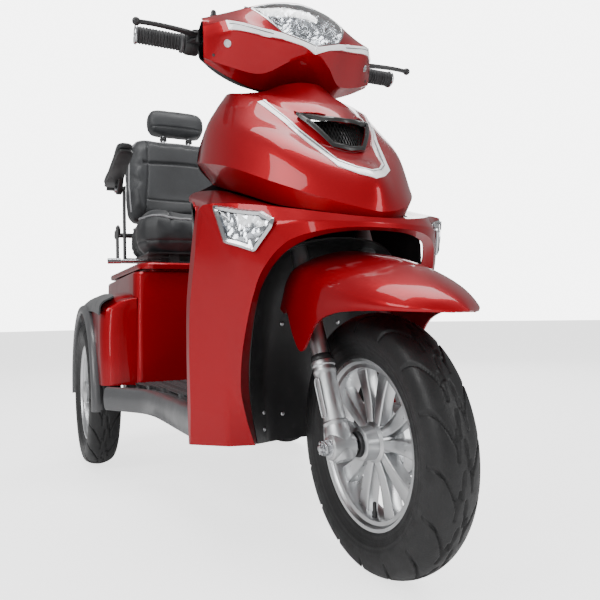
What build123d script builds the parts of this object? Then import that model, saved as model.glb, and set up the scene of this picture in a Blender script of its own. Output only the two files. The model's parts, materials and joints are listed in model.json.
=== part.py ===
"""Three-wheeled mobility scooter with a fork-steered front wheel and a swivel seat.

Millimetres. +X is forward, +Y is the rider's left, +Z is up. The origin is on the ground, halfway along.
"""

import os
from math import cos, radians, sin

from build123d import *

os.makedirs("parts", exist_ok=True)

# Driving dimensions
half_length = 775
wheelbase = 1064
front_axle_x = 550
rear_axle_x = front_axle_x - wheelbase
rear_track = 603
tyre_radius = 209
tyre_half_width = 42
rake = 23
fork_offset = 30
leg_y = 72
seat_x = -450
floor_z = 250
shell_wall = 3
fit_gap = 0.05
slip = 0.5

# Where the main axes lie
front_axle = Vector(front_axle_x, 0, tyre_radius)
rear_hub_y = rear_track / 2
fork_up = Vector(-sin(radians(rake)), 0, cos(radians(rake)))
fork_ahead = Vector(cos(radians(rake)), 0, sin(radians(rake)))
steer_foot = front_axle - fork_ahead * fork_offset

pieces = {}


def leg_plane(side, along):
    """A plane square to one fork leg, at a distance up the leg from the axle."""
    origin = front_axle + fork_up * along + Vector(0, side * leg_y, 0)
    return Plane(origin=origin, x_dir=fork_ahead, z_dir=fork_up)


def steer_plane(along):
    """A plane square to the steering axis, at a distance up it from the axle's level."""
    return Plane(origin=steer_foot + fork_up * along, x_dir=fork_ahead, z_dir=fork_up)


def side_plane(y):
    """The XZ plane at one y: local x runs forward and local y runs up, and it faces -Y."""
    return Plane(origin=(0, y, 0), x_dir=(1, 0, 0), z_dir=(0, -1, 0))


def front_plane(x):
    """The YZ plane at one x: local x runs to the left and local y runs up, and it faces +X."""
    return Plane(origin=(x, 0, 0), x_dir=(0, 1, 0), z_dir=(1, 0, 0))


def flip(points):
    """A half outline, given from its middle outwards, completed by its mirror image."""
    return points + [(-x, y) for x, y in reversed(points) if abs(x) > 0.01]


# ---------------------------------------------------------------- wheels
bead_radius = 128
flange_radius = 140
flange_y = 31.5
barrel_radius = 119
spoke_pairs = 5
spoke_half_depth = 14
hub_radius = 27


def tyre_section(centre):
    """Half-hollow tyre profile in the YZ plane through a wheel's centre."""
    with BuildSketch(Plane(origin=centre, x_dir=(0, 1, 0), z_dir=(1, 0, 0))) as section:
        with BuildLine():
            crown = ThreePointArc((-36, 196), (0, tyre_radius), (36, 196))
            right = ThreePointArc(crown @ 1, (tyre_half_width, 172), (28.5, 142))
            left = ThreePointArc(crown @ 0, (-tyre_half_width, 172), (-28.5, 142))
            inner = ThreePointArc((-27, 188), (0, 199), (27, 188))
            inner_right = ThreePointArc(inner @ 1, (33, 172), (21, 142))
            inner_left = ThreePointArc(inner @ 0, (-33, 172), (-21, 142))
            Polyline(right @ 1, (28.5, bead_radius), (21, bead_radius), inner_right @ 1)
            Polyline(left @ 1, (-28.5, bead_radius), (-21, bead_radius), inner_left @ 1)
        make_face()
    return section.sketch


def rim_section(centre):
    """Rim barrel profile with its two flanges, in the YZ plane through a wheel's centre."""
    half = [(29, 127.5), (29, flange_radius), (flange_y, flange_radius), (flange_y, 124), (26, barrel_radius)]
    with BuildSketch(Plane(origin=centre, x_dir=(0, 1, 0), z_dir=(1, 0, 0))) as section:
        Polygon(*flip(half), align=None)
    return section.sketch


def spokes(centre):
    """Paired arms from hub to barrel."""
    root, tip = 20, barrel_radius + 2
    with BuildPart() as arms:
        outer_face = centre + Vector(0, spoke_half_depth, 0)
        with BuildSketch(Plane(origin=outer_face, x_dir=(1, 0, 0), z_dir=(0, -1, 0))):
            with PolarLocations(0, spoke_pairs, start_angle=18):
                Polygon((root, 1), (root, 14), (tip, 46), (tip, 26), align=None)
                Polygon((root, -14), (root, -1), (tip, -26), (tip, -46), align=None)
        extrude(amount=2 * spoke_half_depth)
    return arms.part


front_axle_radius = 7.5
with BuildPart() as front_tyre:
    add(tyre_section(front_axle))
    revolve(axis=Axis(front_axle, (0, 1, 0)))
pieces["front_tyre"] = front_tyre

drum_radius = 56
front_hub_half = 40
with BuildPart() as front_rim:
    add(rim_section(front_axle))
    revolve(axis=Axis(front_axle, (0, 1, 0)))
    add(spokes(front_axle))
    with Locations(Plane(origin=front_axle, x_dir=(1, 0, 0), z_dir=(0, 1, 0))):
        Cylinder(hub_radius, 2 * front_hub_half)
        with Locations((0, 0, front_hub_half / 2 + 5)):
            Cylinder(drum_radius, front_hub_half - 10)
        Cylinder(front_axle_radius + fit_gap, 3 * front_hub_half, mode=Mode.SUBTRACT)
pieces["front_rim"] = front_rim

shaft_radius = 12
rear_hub_depth = 34
for label, side in (("right", -1), ("left", 1)):
    hub_centre = Vector(rear_axle_x, side * rear_hub_y, tyre_radius)
    with BuildPart() as rear_tyre:
        add(tyre_section(hub_centre))
        revolve(axis=Axis(hub_centre, (0, 1, 0)))
    pieces[f"rear_tyre_{label}"] = rear_tyre
    with BuildPart() as rear_rim:
        add(rim_section(hub_centre))
        revolve(axis=Axis(hub_centre, (0, 1, 0)))
        add(spokes(hub_centre))
        with Locations(Plane(origin=hub_centre, x_dir=(1, 0, 0), z_dir=(0, side, 0))):
            Cylinder(hub_radius + 6, 2 * rear_hub_depth)
            with Locations((0, 0, -85)):
                Cylinder(shaft_radius, 120)
    pieces[f"rear_rim_{label}"] = rear_rim

# ---------------------------------------------------------------- front fork, lower half
slider_radius = 19.5
stanchion_radius = 15
slider_top = 140
with BuildPart() as fork_sliders:
    for side in (-1, 1):
        with BuildSketch(leg_plane(side, -22)):
            Circle(slider_radius)
        extrude(amount=slider_top + 22)
        with BuildSketch(leg_plane(side, slider_top - 10)):
            Circle(slider_radius + 1.5)
        extrude(amount=10)
        with BuildSketch(leg_plane(side, 22)):
            Circle(stanchion_radius + fit_gap)
        extrude(amount=slider_top, mode=Mode.SUBTRACT)
    with Locations(Plane(origin=front_axle, x_dir=(1, 0, 0), z_dir=(0, 1, 0))):
        Cylinder(front_axle_radius + fit_gap, 3 * leg_y, mode=Mode.SUBTRACT)
pieces["fork_sliders"] = fork_sliders

leg_outside = leg_y + slider_radius
leg_inside = leg_y - slider_radius
nut_depth = 9
with BuildPart() as front_axle_bolt:
    with Locations(Plane(origin=front_axle, x_dir=(1, 0, 0), z_dir=(0, 1, 0))):
        Cylinder(front_axle_radius, 2 * (leg_outside + nut_depth + 5))
    for side in (-1, 1):
        nut_face = front_axle + Vector(0, side * (leg_outside + 0.1), 0)
        with BuildSketch(Plane(origin=nut_face, z_dir=(0, side, 0))):
            RegularPolygon(12.5, 6)
        extrude(amount=nut_depth)
        spacer_face = front_axle + Vector(0, side * (leg_inside - 0.2), 0)
        with BuildSketch(Plane(origin=spacer_face, z_dir=(0, -side, 0))):
            Circle(11)
        extrude(amount=3)
pieces["front_axle"] = front_axle_bolt

with BuildPart() as brake_plate:
    with BuildSketch(Plane(origin=front_axle + Vector(0, front_hub_half + 0.5, 0), z_dir=(0, 1, 0))):
        Circle(drum_radius + 4)
        Circle(front_axle_radius + 0.3, mode=Mode.SUBTRACT)
    extrude(amount=7)
    with BuildSketch(side_plane(front_hub_half + 7.5)):
        with Locations((front_axle_x + 75, tyre_radius + 5)):
            Rectangle(60, 12, rotation=20)
    extrude(amount=5)
pieces["front_brake_plate"] = brake_plate

# The mudguard is a hollow hood over the tyre with a flank outside each fork leg.
guard_half_width = 104
guard_wall = 4
guard_side = [
    (half_length, 418), (748, 440), (705, 468), (650, 494), (590, 512), (520, 524), (462, 530),
    (415, 512), (378, 472), (368, 430), (368, 200), (half_length, 200),
]
guard_front = flip(
    [(0, 535), (45, 526), (82, 500), (100, 460), (guard_half_width, 420), (guard_half_width, 200)]
)
guard_plan = [(330, -110), (560, -108), (660, -92), (730, -58), (765, -22), (half_length, -6)]
guard_edge = [
    (330, 372), (382, 370), (415, 345), (448, 345), (470, 395), (520, 424), (600, 432), (700, 424),
    (half_length + 5, 414.5), (half_length + 5, 150), (330, 150),
]


def guard_solid(wall):
    """The space inside the mudguard's outer surface, pulled in by a wall thickness."""
    with BuildPart() as solid:
        with BuildSketch(side_plane(150)):
            Polygon(*guard_side, align=None)
            offset(amount=-wall, kind=Kind.INTERSECTION)
        extrude(amount=300)
        with BuildSketch(front_plane(200)):
            Polygon(*guard_front, align=None)
            offset(amount=-wall, kind=Kind.INTERSECTION)
        extrude(amount=700, mode=Mode.INTERSECT)
        with BuildSketch(Plane.XY):
            Polygon(*guard_plan, *[(x, -y) for x, y in reversed(guard_plan)], align=None)
            offset(amount=-wall, kind=Kind.INTERSECTION)
        extrude(amount=700, mode=Mode.INTERSECT)
    return solid.part


with BuildPart() as front_fender:
    add(guard_solid(0.001))
    add(guard_solid(guard_wall), mode=Mode.SUBTRACT)
    with BuildSketch(side_plane(150)):
        Polygon(*guard_edge, align=None)
    extrude(amount=300, mode=Mode.SUBTRACT)
    for side in (-1, 1):
        with BuildSketch(leg_plane(side, 120)):
            Circle(slider_radius + 3)
        extrude(amount=300, mode=Mode.SUBTRACT)
pieces["front_fender"] = front_fender

# ---------------------------------------------------------------- steering
crown_low, crown_high = 400, 424
stem_radius = 13
stem_top = 780
bar_along = 806
bar_radius = 11
bar_centre = steer_foot + fork_up * bar_along
with BuildPart() as stanchions:
    for side in (-1, 1):
        with BuildSketch(leg_plane(side, 64)):
            Circle(stanchion_radius)
            Circle(stanchion_radius - 3, mode=Mode.SUBTRACT)
        extrude(amount=crown_high - 64)
pieces["stanchions"] = stanchions

with BuildPart() as fork_crown:
    with BuildSketch(steer_plane(crown_low)):
        with Locations((fork_offset, -leg_y), (fork_offset, leg_y)):
            Circle(23)
        with Locations((fork_offset / 2, 0)):
            Rectangle(40, 2 * leg_y)
        with Locations((fork_offset, -leg_y), (fork_offset, leg_y)):
            Circle(stanchion_radius + 0.02, mode=Mode.SUBTRACT)
    extrude(amount=crown_high - crown_low)
    with BuildSketch(steer_plane(crown_low)):
        Circle(stem_radius)
    extrude(amount=stem_top - crown_low)
    with BuildSketch(steer_plane(stem_top)):
        Rectangle(44, 60)
    extrude(amount=2 * (bar_along - stem_top))
    with Locations(Plane(origin=bar_centre, x_dir=(1, 0, 0), z_dir=(0, 1, 0))):
        Cylinder(bar_radius + fit_gap, 80, mode=Mode.SUBTRACT)
pieces["fork_crown"] = fork_crown

grip_x, grip_z = 157, 992
grip_inner, grip_outer = 210, 307
bar_end_y = grip_outer - 6
with BuildPart() as handlebar:
    with BuildLine() as bar_path:
        half_path = [(bar_centre.X, 45, bar_centre.Z), (172, 120, 985), (grip_x, bar_end_y, grip_z)]
        far_path = [(x, -y, z) for x, y, z in reversed(half_path)]
        FilletPolyline(*far_path, *half_path, radius=30)
    with BuildSketch(Plane(origin=bar_path.line @ 0, z_dir=bar_path.line % 0)):
        Circle(bar_radius)
    sweep()
pieces["handlebar"] = handlebar

bar_end = Vector(grip_x, bar_end_y, grip_z)
bar_knee = Vector(172, 120, 985)
bar_outward = (bar_end - bar_knee).normalized()


def bar_plane(side, y):
    """A plane square to the outer bar on one side, where the bar reaches a distance from the middle."""
    reach = bar_knee + bar_outward * ((y - bar_knee.Y) / bar_outward.Y)
    outward = (bar_outward.X, side * bar_outward.Y, bar_outward.Z)
    return Plane(origin=(reach.X, side * reach.Y, reach.Z), z_dir=outward)


grip_radius = 16
for label, side in (("throttle_grip", -1), ("grip_left", 1)):
    with BuildPart() as grip:
        with BuildSketch(bar_plane(side, grip_inner)):
            Circle(grip_radius)
        extrude(amount=grip_outer - grip_inner)
        with BuildSketch(bar_plane(side, grip_outer - 6)):
            Circle(grip_radius + 3)
        extrude(amount=6)
        with BuildSketch(bar_plane(side, grip_inner - 5)):
            Circle(bar_radius + fit_gap)
        extrude(amount=bar_end_y - grip_inner + 6, mode=Mode.SUBTRACT)
    pieces[label] = grip

lever_pivot_y = 190
switch_x, switch_y, switch_z = 143, 194, 988
lever_ahead = 42
with BuildPart() as switch_pods:
    for side in (-1, 1):
        with BuildSketch(bar_plane(side, 178)):
            Circle(21)
        extrude(amount=31)
        with BuildSketch(Plane.XY.offset(grip_z - 12)):
            with Locations((grip_x + 30, side * lever_pivot_y)):
                Rectangle(40, 24)
        extrude(amount=5)
        with BuildSketch(Plane.XY.offset(grip_z + 4)):
            with Locations((grip_x + 30, side * lever_pivot_y)):
                Rectangle(40, 24)
        extrude(amount=5)
        with BuildSketch(Plane.XY.offset(grip_z - 12)):
            with Locations((grip_x + lever_ahead, side * lever_pivot_y)):
                Circle(3)
        extrude(amount=21)
        with BuildSketch(bar_plane(side, 170)):
            Circle(bar_radius + fit_gap)
        extrude(amount=60, mode=Mode.SUBTRACT)
        with BuildSketch(front_plane(switch_x - 18)):
            with Locations((side * switch_y, switch_z)):
                Rectangle(16, 14)
        extrude(amount=32, mode=Mode.SUBTRACT)
pieces["switch_pods"] = switch_pods

lever_ball_x, lever_ball_y = 217, 316
for label, side in (("right", -1), ("left", 1)):
    with BuildPart() as lever:
        with BuildSketch(Plane.XY.offset(grip_z - 6.5)):
            with BuildLine():
                Polyline(
                    (grip_x + lever_ahead - 7, side * (lever_pivot_y - 8)),
                    (grip_x + lever_ahead + 8, side * (lever_pivot_y - 8)),
                    (lever_ball_x + 4, side * (lever_pivot_y + 40)),
                    (lever_ball_x + 5, side * (lever_ball_y - 5)),
                    (lever_ball_x - 5, side * (lever_ball_y - 5)),
                    (lever_ball_x - 12, side * (lever_pivot_y + 40)),
                    (grip_x + lever_ahead - 7, side * (lever_pivot_y + 6)),
                    close=True,
                )
            make_face()
        extrude(amount=10)
        with Locations((lever_ball_x, side * (lever_ball_y - 1), grip_z - 1.5)):
            Sphere(8)
        with Locations((grip_x + lever_ahead, side * lever_pivot_y, grip_z)):
            Cylinder(3 + fit_gap, 40, mode=Mode.SUBTRACT)
    pieces[f"brake_lever_{label}"] = lever

# The head fairing is two hollow shells that meet around the bar. Its form is where three outlines meet.
head_side = [
    (232, 862), (318, 866), (350, 895), (370, 935), (332, 1000), (294, 1052), (240, 1060),
    (200, 1052), (150, 1010), (140, 960), (168, 878),
]
head_front = flip(
    [(0, 1062), (95, 1048), (150, 1022), (192, 1012), (186, 915), (150, 892), (100, 872), (0, 860)]
)
head_plan = [(376, 0), (345, 60), (312, 112), (280, 160), (252, 196), (200, 205), (150, 190), (135, 120)]
head_seam = Plane(origin=(232, 0, 0), z_dir=(1, 0, 0))


def head_form(wall):
    """The space inside the head fairing's outer surface, pulled in by a wall thickness."""
    with BuildPart() as form:
        with BuildSketch(side_plane(210)):
            Polygon(*head_side, align=None)
            if wall:
                offset(amount=-wall, kind=Kind.INTERSECTION)
        extrude(amount=420)
        with BuildSketch(front_plane(120)):
            Polygon(*head_front, align=None)
            if wall:
                offset(amount=-wall, kind=Kind.INTERSECTION)
        extrude(amount=320, mode=Mode.INTERSECT)
        with BuildSketch(Plane.XY.offset(840)):
            Polygon(*head_plan, *[(x, -y) for x, y in reversed(head_plan[1:])], align=None)
            if wall:
                offset(amount=-wall, kind=Kind.INTERSECTION)
        extrude(amount=260, mode=Mode.INTERSECT)
    return form.part


lamp_view = flip([(0, 938), (50, 950), (86, 972), (104, 1004), (60, 1036), (0, 1046)])
lamp_bar = [(94, 956), (160, 990), (166, 968), (94, 940)]
with BuildPart() as head_skin:
    add(head_form(0))
    add(head_form(shell_wall), mode=Mode.SUBTRACT)

with BuildPart() as head_openings:
    with BuildSketch(front_plane(290)):
        Polygon(*lamp_view, align=None)
        for side in (-1, 1):
            Polygon(*[(side * y, z) for y, z in lamp_bar], align=None)
    extrude(amount=200)
    with BuildSketch(front_plane(250)):
        for side in (-1, 1):
            Polygon(*[(side * y, z) for y, z in lamp_bar], align=None)
    extrude(amount=60)
    # The stem enters from below, and the bar, pods and lever roots leave through the ends.
    with BuildSketch(steer_plane(600)):
        Circle(40)
        Rectangle(90, 70)
    extrude(amount=160)
    for side in (-1, 1):
        with BuildSketch(side_plane(side * 185)):
            with Locations((grip_x + 24, grip_z - 2)):
                RectangleRounded(112, 62, 20)
        extrude(amount=20, both=True)

head_halves = (("head_cover", head_seam, Keep.TOP), ("dash_cover", head_seam.offset(-slip), Keep.BOTTOM))
for label, seam, kept in head_halves:
    with BuildPart() as cover:
        add(head_skin.part)
        add(head_openings.part, mode=Mode.SUBTRACT)
        split(bisect_by=seam, keep=kept)
    pieces[label] = cover

with BuildPart() as headlight_lens:
    add(head_skin.part)
    with BuildSketch(front_plane(290)):
        Polygon(*[(y * 0.985, 991 + (z - 991) * 0.985) for y, z in lamp_view], align=None)
    extrude(amount=200, mode=Mode.INTERSECT)
pieces["headlight_lens"] = headlight_lens

with BuildPart() as headlight_reflector:
    with BuildSketch(side_plane(55)):
        Polygon((340, 940), (312, 996), (290, 1028), (262, 1028), (262, 950), align=None)
    extrude(amount=110)
    with BuildSketch(side_plane(50)):
        Polygon((350, 946), (320, 1004), (292, 1022), (270, 1018), (270, 957), align=None)
    extrude(amount=100, mode=Mode.SUBTRACT)
pieces["headlight_reflector"] = headlight_reflector

with BuildPart() as running_lamps:
    add(head_skin.part)
    with BuildSketch(front_plane(252)):
        for side in (-1, 1):
            inset_bar = [(side * (128 + (y - 128) * 0.96), 964 + (z - 964) * 0.94) for y, z in lamp_bar]
            Polygon(*inset_bar, align=None)
    extrude(amount=150, mode=Mode.INTERSECT)
pieces["running_lamps"] = running_lamps

with BuildPart() as horn_button:
    with Locations(Plane(origin=(switch_x, switch_y, switch_z), x_dir=(0, 1, 0), z_dir=(1, 0, 0))):
        Cylinder(4.5, 12)
pieces["horn_button"] = horn_button

with BuildPart() as turn_switch:
    with Locations((switch_x, -switch_y, switch_z)):
        Box(12, 6, 9)
pieces["turn_switch"] = turn_switch

key_at = Plane(origin=(143.5, -70, 972), x_dir=(0, 1, 0), z_dir=(-0.98, 0, 0.18))
with BuildPart() as ignition_key:
    with BuildSketch(key_at.offset(4)):
        Circle(9)
    extrude(amount=8)
    with BuildSketch(key_at.offset(12)):
        Rectangle(4, 24)
    extrude(amount=22)
pieces["ignition_key"] = ignition_key

# ---------------------------------------------------------------- frame
head_tube_low, head_tube_high = crown_high + 8, 603
head_tube_radius = 25
rail_y, rail_z = 120, 200
rear_rail_y, rear_rail_z = 205, 500
post_radius = 25
pivot_x, pivot_radius = -262, 8
shock_x, shock_y = -566, 180
shock_top, shock_foot = 485, 238
lid_z = 548


def tube(points, radius, bend=40):
    """Adds a round tube along a bent path to the sub-part being built."""
    with BuildPart() as run:
        with BuildLine() as path:
            if len(points) > 2:
                FilletPolyline(*points, radius=bend)
            else:
                Line(*points)
        with BuildSketch(Plane(origin=path.line @ 0, z_dir=path.line % 0)):
            Circle(radius)
        sweep(path=path.line)
    add(run.part)


with BuildPart() as frame:
    with BuildSketch(steer_plane(head_tube_low)):
        Circle(head_tube_radius)
    extrude(amount=head_tube_high - head_tube_low)
    tube([(334, 0, 640), (276, 0, 560), (256, 0, 200)], 18)
    tube([(250, -rail_y - 3, rail_z), (250, rail_y + 3, rail_z)], 15.5)
    for side in (-1, 1):
        tube([(253, side * rail_y, rail_z), (-229, side * rail_y, rail_z)], 14)
        upright = [(-225, side * rear_rail_y, z) for z in (rail_z - 3, rear_rail_z)]
        tube([*upright, (-700, side * rear_rail_y, rear_rail_z)], 13)
        with Locations((-250, side * 116, rail_z)):
            Box(50, 8, 26)
        with Locations((shock_x, side * 199, shock_top)):
            Box(20, 6, 30)
        tube([(shock_x, side * 169, shock_top), (shock_x, side * 201, shock_top)], 5)
    tube([(-225, -rear_rail_y - 13, rail_z), (-225, rear_rail_y + 13, rail_z)], 15.5)
    tube([(pivot_x, -118, rail_z), (pivot_x, 118, rail_z)], pivot_radius)
    for x in (seat_x - 50, seat_x + 50, -690):
        tube([(x, -rear_rail_y - 3, rear_rail_z), (x, rear_rail_y + 3, rear_rail_z)], 11.5)
    with Locations((-325, 0, 255.5)):
        Box(192, 396, 4)
    with Locations((seat_x, 0, 500)):
        Box(100, 70, 26)
        Cylinder(post_radius + 7, 70)
        Cylinder(post_radius + fit_gap, 90, mode=Mode.SUBTRACT)
    with BuildSketch(steer_plane(head_tube_low - 20)):
        Circle(21)
    extrude(amount=head_tube_high - head_tube_low + 40, mode=Mode.SUBTRACT)
pieces["frame"] = frame

with BuildPart() as headset_bearings:
    for along in (head_tube_low + 3, head_tube_high - 15):
        with BuildSketch(steer_plane(along)):
            Circle(21 - 0.02)
            Circle(stem_radius + fit_gap, mode=Mode.SUBTRACT)
        extrude(amount=12)
pieces["headset_bearings"] = headset_bearings

# ---------------------------------------------------------------- floor
floor_front_x, floor_rear_x = 290, -192
floor_half, flare_half = 238, 322


floor_outline = [
    (floor_front_x, floor_half), (40, floor_half), (-60, floor_half + 10), (-140, floor_half + 45),
    (floor_rear_x, flare_half),
]


def floor_area(z, inset_by=0.0):
    """The footboard's plan: straight beside the feet, flaring to meet the rear guards."""
    with BuildSketch(Plane.XY.offset(z)) as area:
        Polygon(*floor_outline, *[(x, -y) for x, y in reversed(floor_outline)], align=None)
        if inset_by:
            offset(amount=-inset_by, kind=Kind.INTERSECTION)
    return area.sketch


def notch_for_down_tube():
    """Clears the frame's down tube where it passes through the floor."""
    with BuildPart() as notch:
        with Locations((259, 0, rail_z + 44.5)):
            Box(41, 42, 60)
    add(notch.part, mode=Mode.SUBTRACT)


with BuildPart() as floor_pan:
    add(floor_area(floor_z - 14, 8))
    extrude(amount=6)
    with BuildSketch(Plane.XY.offset(rail_z + 14.5)):
        for y in (-180, -60, 60, 180):
            with Locations((30, y)):
                Rectangle(400, 6)
    extrude(amount=floor_z - 14 - rail_z - 14.5)
    notch_for_down_tube()
pieces["floor_pan"] = floor_pan

with BuildPart() as floor_mat:
    add(floor_area(floor_z - 7.8, 30))
    extrude(amount=7.8)
    notch_for_down_tube()
pieces["floor_mat"] = floor_mat

with BuildPart() as floor_skirt:
    with BuildSketch(Plane.XY.offset(195)):
        add(floor_area(195))
        add(floor_area(195, 5), mode=Mode.SUBTRACT)
    extrude(amount=floor_z - 195)
    with BuildSketch(Plane.XY.offset(floor_z - 7.5)):
        add(floor_area(floor_z - 7.5, 4))
        add(floor_area(floor_z - 7.5, 28), mode=Mode.SUBTRACT)
    extrude(amount=7.5)
    notch_for_down_tube()
    # The rear is open, where the frame rails pass back under the seat.
    with Locations((floor_rear_x, 0, 216)):
        Box(14, 600, 52, mode=Mode.SUBTRACT)
pieces["floor_skirt"] = floor_skirt

# ---------------------------------------------------------------- front bodywork
hood_round = 2.1


def hood_section(z, reach, half_width, rear, wall=0.0):
    """Plan section of the hood at one height: a superellipse nose ahead of a flat back."""
    w, nose = half_width - wall, reach - wall
    count = 8
    half = []
    for i in range(count + 1):
        y = w * sin(radians(90 * i / count))
        half.append((rear + (nose - rear) * max(0.0, 1 - (y / w) ** hood_round) ** (1 / hood_round), y))
    points = half + [(x, -y) for x, y in reversed(half[1:])]
    with BuildSketch(Plane.XY.offset(z)) as section:
        Polygon(*points, align=None)
    return section.sketch


# height, nose x, half width and rear x of the hood
hood_levels = [
    (576, 576, 150, 196), (640, 556, 166, 190), (700, 524, 172, 188), (760, 490, 172, 186),
    (812, 424, 166, 190), (846, 380, 152, 206),
]
with BuildPart() as hood:
    loft([hood_section(z, nose, w, rear) for z, nose, w, rear in hood_levels], ruled=True)
    loft(
        [
            hood_section(z - 0.5 * i, nose, w, rear - 20, shell_wall)
            for i, (z, nose, w, rear) in enumerate(hood_levels)
        ],
        ruled=True,
        mode=Mode.SUBTRACT,
    )
    with BuildSketch(steer_plane(620)):
        Circle(24)
    extrude(amount=160, mode=Mode.SUBTRACT)
    # The lower edge climbs towards the rider.
    with BuildSketch(side_plane(220)):
        Polygon((600, 570), (600, 577), (470, 606), (300, 656), (150, 690), (150, 570), align=None)
    extrude(amount=440, mode=Mode.SUBTRACT)
    with BuildSketch(front_plane(420)):
        Polygon(*flip([(0, 757), (70, 752), (64, 726), (24, 700), (0, 698)]), align=None)
    extrude(amount=200, mode=Mode.SUBTRACT)
pieces["hood"] = hood

with BuildPart() as hood_grille:
    with BuildSketch(front_plane(455)):
        Polygon(*flip([(0, 755), (68, 750), (62, 727), (23, 702), (0, 700)]), align=None)
    extrude(amount=8)
pieces["hood_grille"] = hood_grille

# The light strip is a band as seen from the front, standing 2 mm proud of the hood.
strip_band = [
    (0, 637), (30, 648), (72, 690), (104, 752), (126, 812),
    (112, 815), (88, 758), (60, 704), (24, 666), (0, 657),
]
strip_proud, strip_wall = 2, 1.9
strip_levels = [(z, nose + strip_proud, w + strip_proud, rear) for z, nose, w, rear in hood_levels[:5]]
strip_levels.append((830, 404, 160, 200))
with BuildPart() as strip_blank:
    loft([hood_section(*level) for level in strip_levels], ruled=True)
    loft(
        [
            hood_section(z + 0.01 * i, nose, w, rear - 20, strip_wall)
            for i, (z, nose, w, rear) in enumerate(strip_levels)
        ],
        ruled=True,
        mode=Mode.SUBTRACT,
    )
    with BuildSketch(front_plane(300)):
        Polygon(*flip(strip_band), align=None)
    extrude(amount=300, mode=Mode.INTERSECT)
with BuildPart() as hood_light_strip:
    add(strip_blank.part)
    add(hood.part, mode=Mode.SUBTRACT)
pieces["hood_light_strip"] = hood_light_strip

shield_half = 250


def shield_band(z, middle, edge, power, outer=0.0, wall=shell_wall):
    """Plan section of the leg shield at one height: a thin bow, furthest forward in the middle."""
    count = 10
    front = []
    for i in range(count + 1):
        y = shield_half * i / count
        front.append((outer + middle - (middle - edge) * (y / shield_half) ** power, y))
    back = [(x - wall, y) for x, y in front]
    ring = [(x, -y) for x, y in reversed(front[1:])] + front
    ring += list(reversed(back)) + [(x, -y) for x, y in back[1:]]
    with BuildSketch(Plane.XY.offset(z)) as section:
        Polygon(*ring, align=None)
    return section.sketch


shield_levels = [(186, 400, 305, 2.5), (450, 500, 334, 2.0), (560, 582, 378, 1.7), (620, 590, 405, 1.6)]
shield_outline = [
    (0, 574), (100, 582), (145, 600), (shield_half, 606), (shield_half, 196), (200, 186), (0, 186),
]
arch_half = [(0, 553), (70, 548), (122, 526), (148, 480), (156, 390), (154, 240), (140, 150), (0, 150)]
indicator_half = [(238, 596), (176, 576), (165, 560), (182, 518), (230, 534)]
with BuildPart() as front_shield:
    loft([shield_band(*level) for level in shield_levels], ruled=True)
    with BuildSketch(front_plane(200)):
        Polygon(*flip(shield_outline), align=None)
    extrude(amount=500, mode=Mode.INTERSECT)
    with BuildSketch(front_plane(200)):
        Polygon(*flip(arch_half), align=None)
    extrude(amount=500, mode=Mode.SUBTRACT)
    with BuildSketch(front_plane(200)):
        for side in (-1, 1):
            Polygon(*[(side * y, z) for y, z in indicator_half], align=None)
    extrude(amount=500, mode=Mode.SUBTRACT)
pieces["front_shield"] = front_shield

with BuildPart() as indicator_lenses:
    loft([shield_band(*level, outer=6, wall=10) for level in shield_levels], ruled=True)
    with BuildSketch(front_plane(200)):
        for side in (-1, 1):
            inset_lens = [(side * (200 + (y - 200) * 0.97), 556 + (z - 556) * 0.97) for y, z in indicator_half]
            Polygon(*inset_lens, align=None)
    extrude(amount=500, mode=Mode.INTERSECT)
pieces["indicator_lenses"] = indicator_lenses

liner_low, liner_high = 178, 515
with BuildPart() as wheel_liner:
    with BuildSketch(Plane.XY.offset(liner_low)):
        Polygon(
            (345, 148), (316, 128), (298, 60), (298, -60), (316, -128), (345, -148),
            (345, -144.5), (319, -126), (301, -58), (301, 58), (319, 126), (345, 144.5),
            align=None,
        )
    extrude(amount=liner_high - liner_low)
pieces["wheel_liner"] = wheel_liner

panel_foot = floor_z + 4
with BuildPart() as rider_panel:
    with BuildSketch(side_plane(shield_half)):
        Polygon(
            (232, panel_foot), (235, panel_foot), (232, 560), (184, 654),
            (184, 838), (181, 838), (181, 653), (229, 559),
            align=None,
        )
    extrude(amount=2 * shield_half)
    with BuildSketch(front_plane(100)):
        Polygon(
            *flip([(0, 840), (150, 838), (168, 700), (172, 640), (240, 604), (240, panel_foot)]),
            align=None,
        )
    extrude(amount=300, mode=Mode.INTERSECT)
pieces["rider_panel"] = rider_panel

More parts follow.
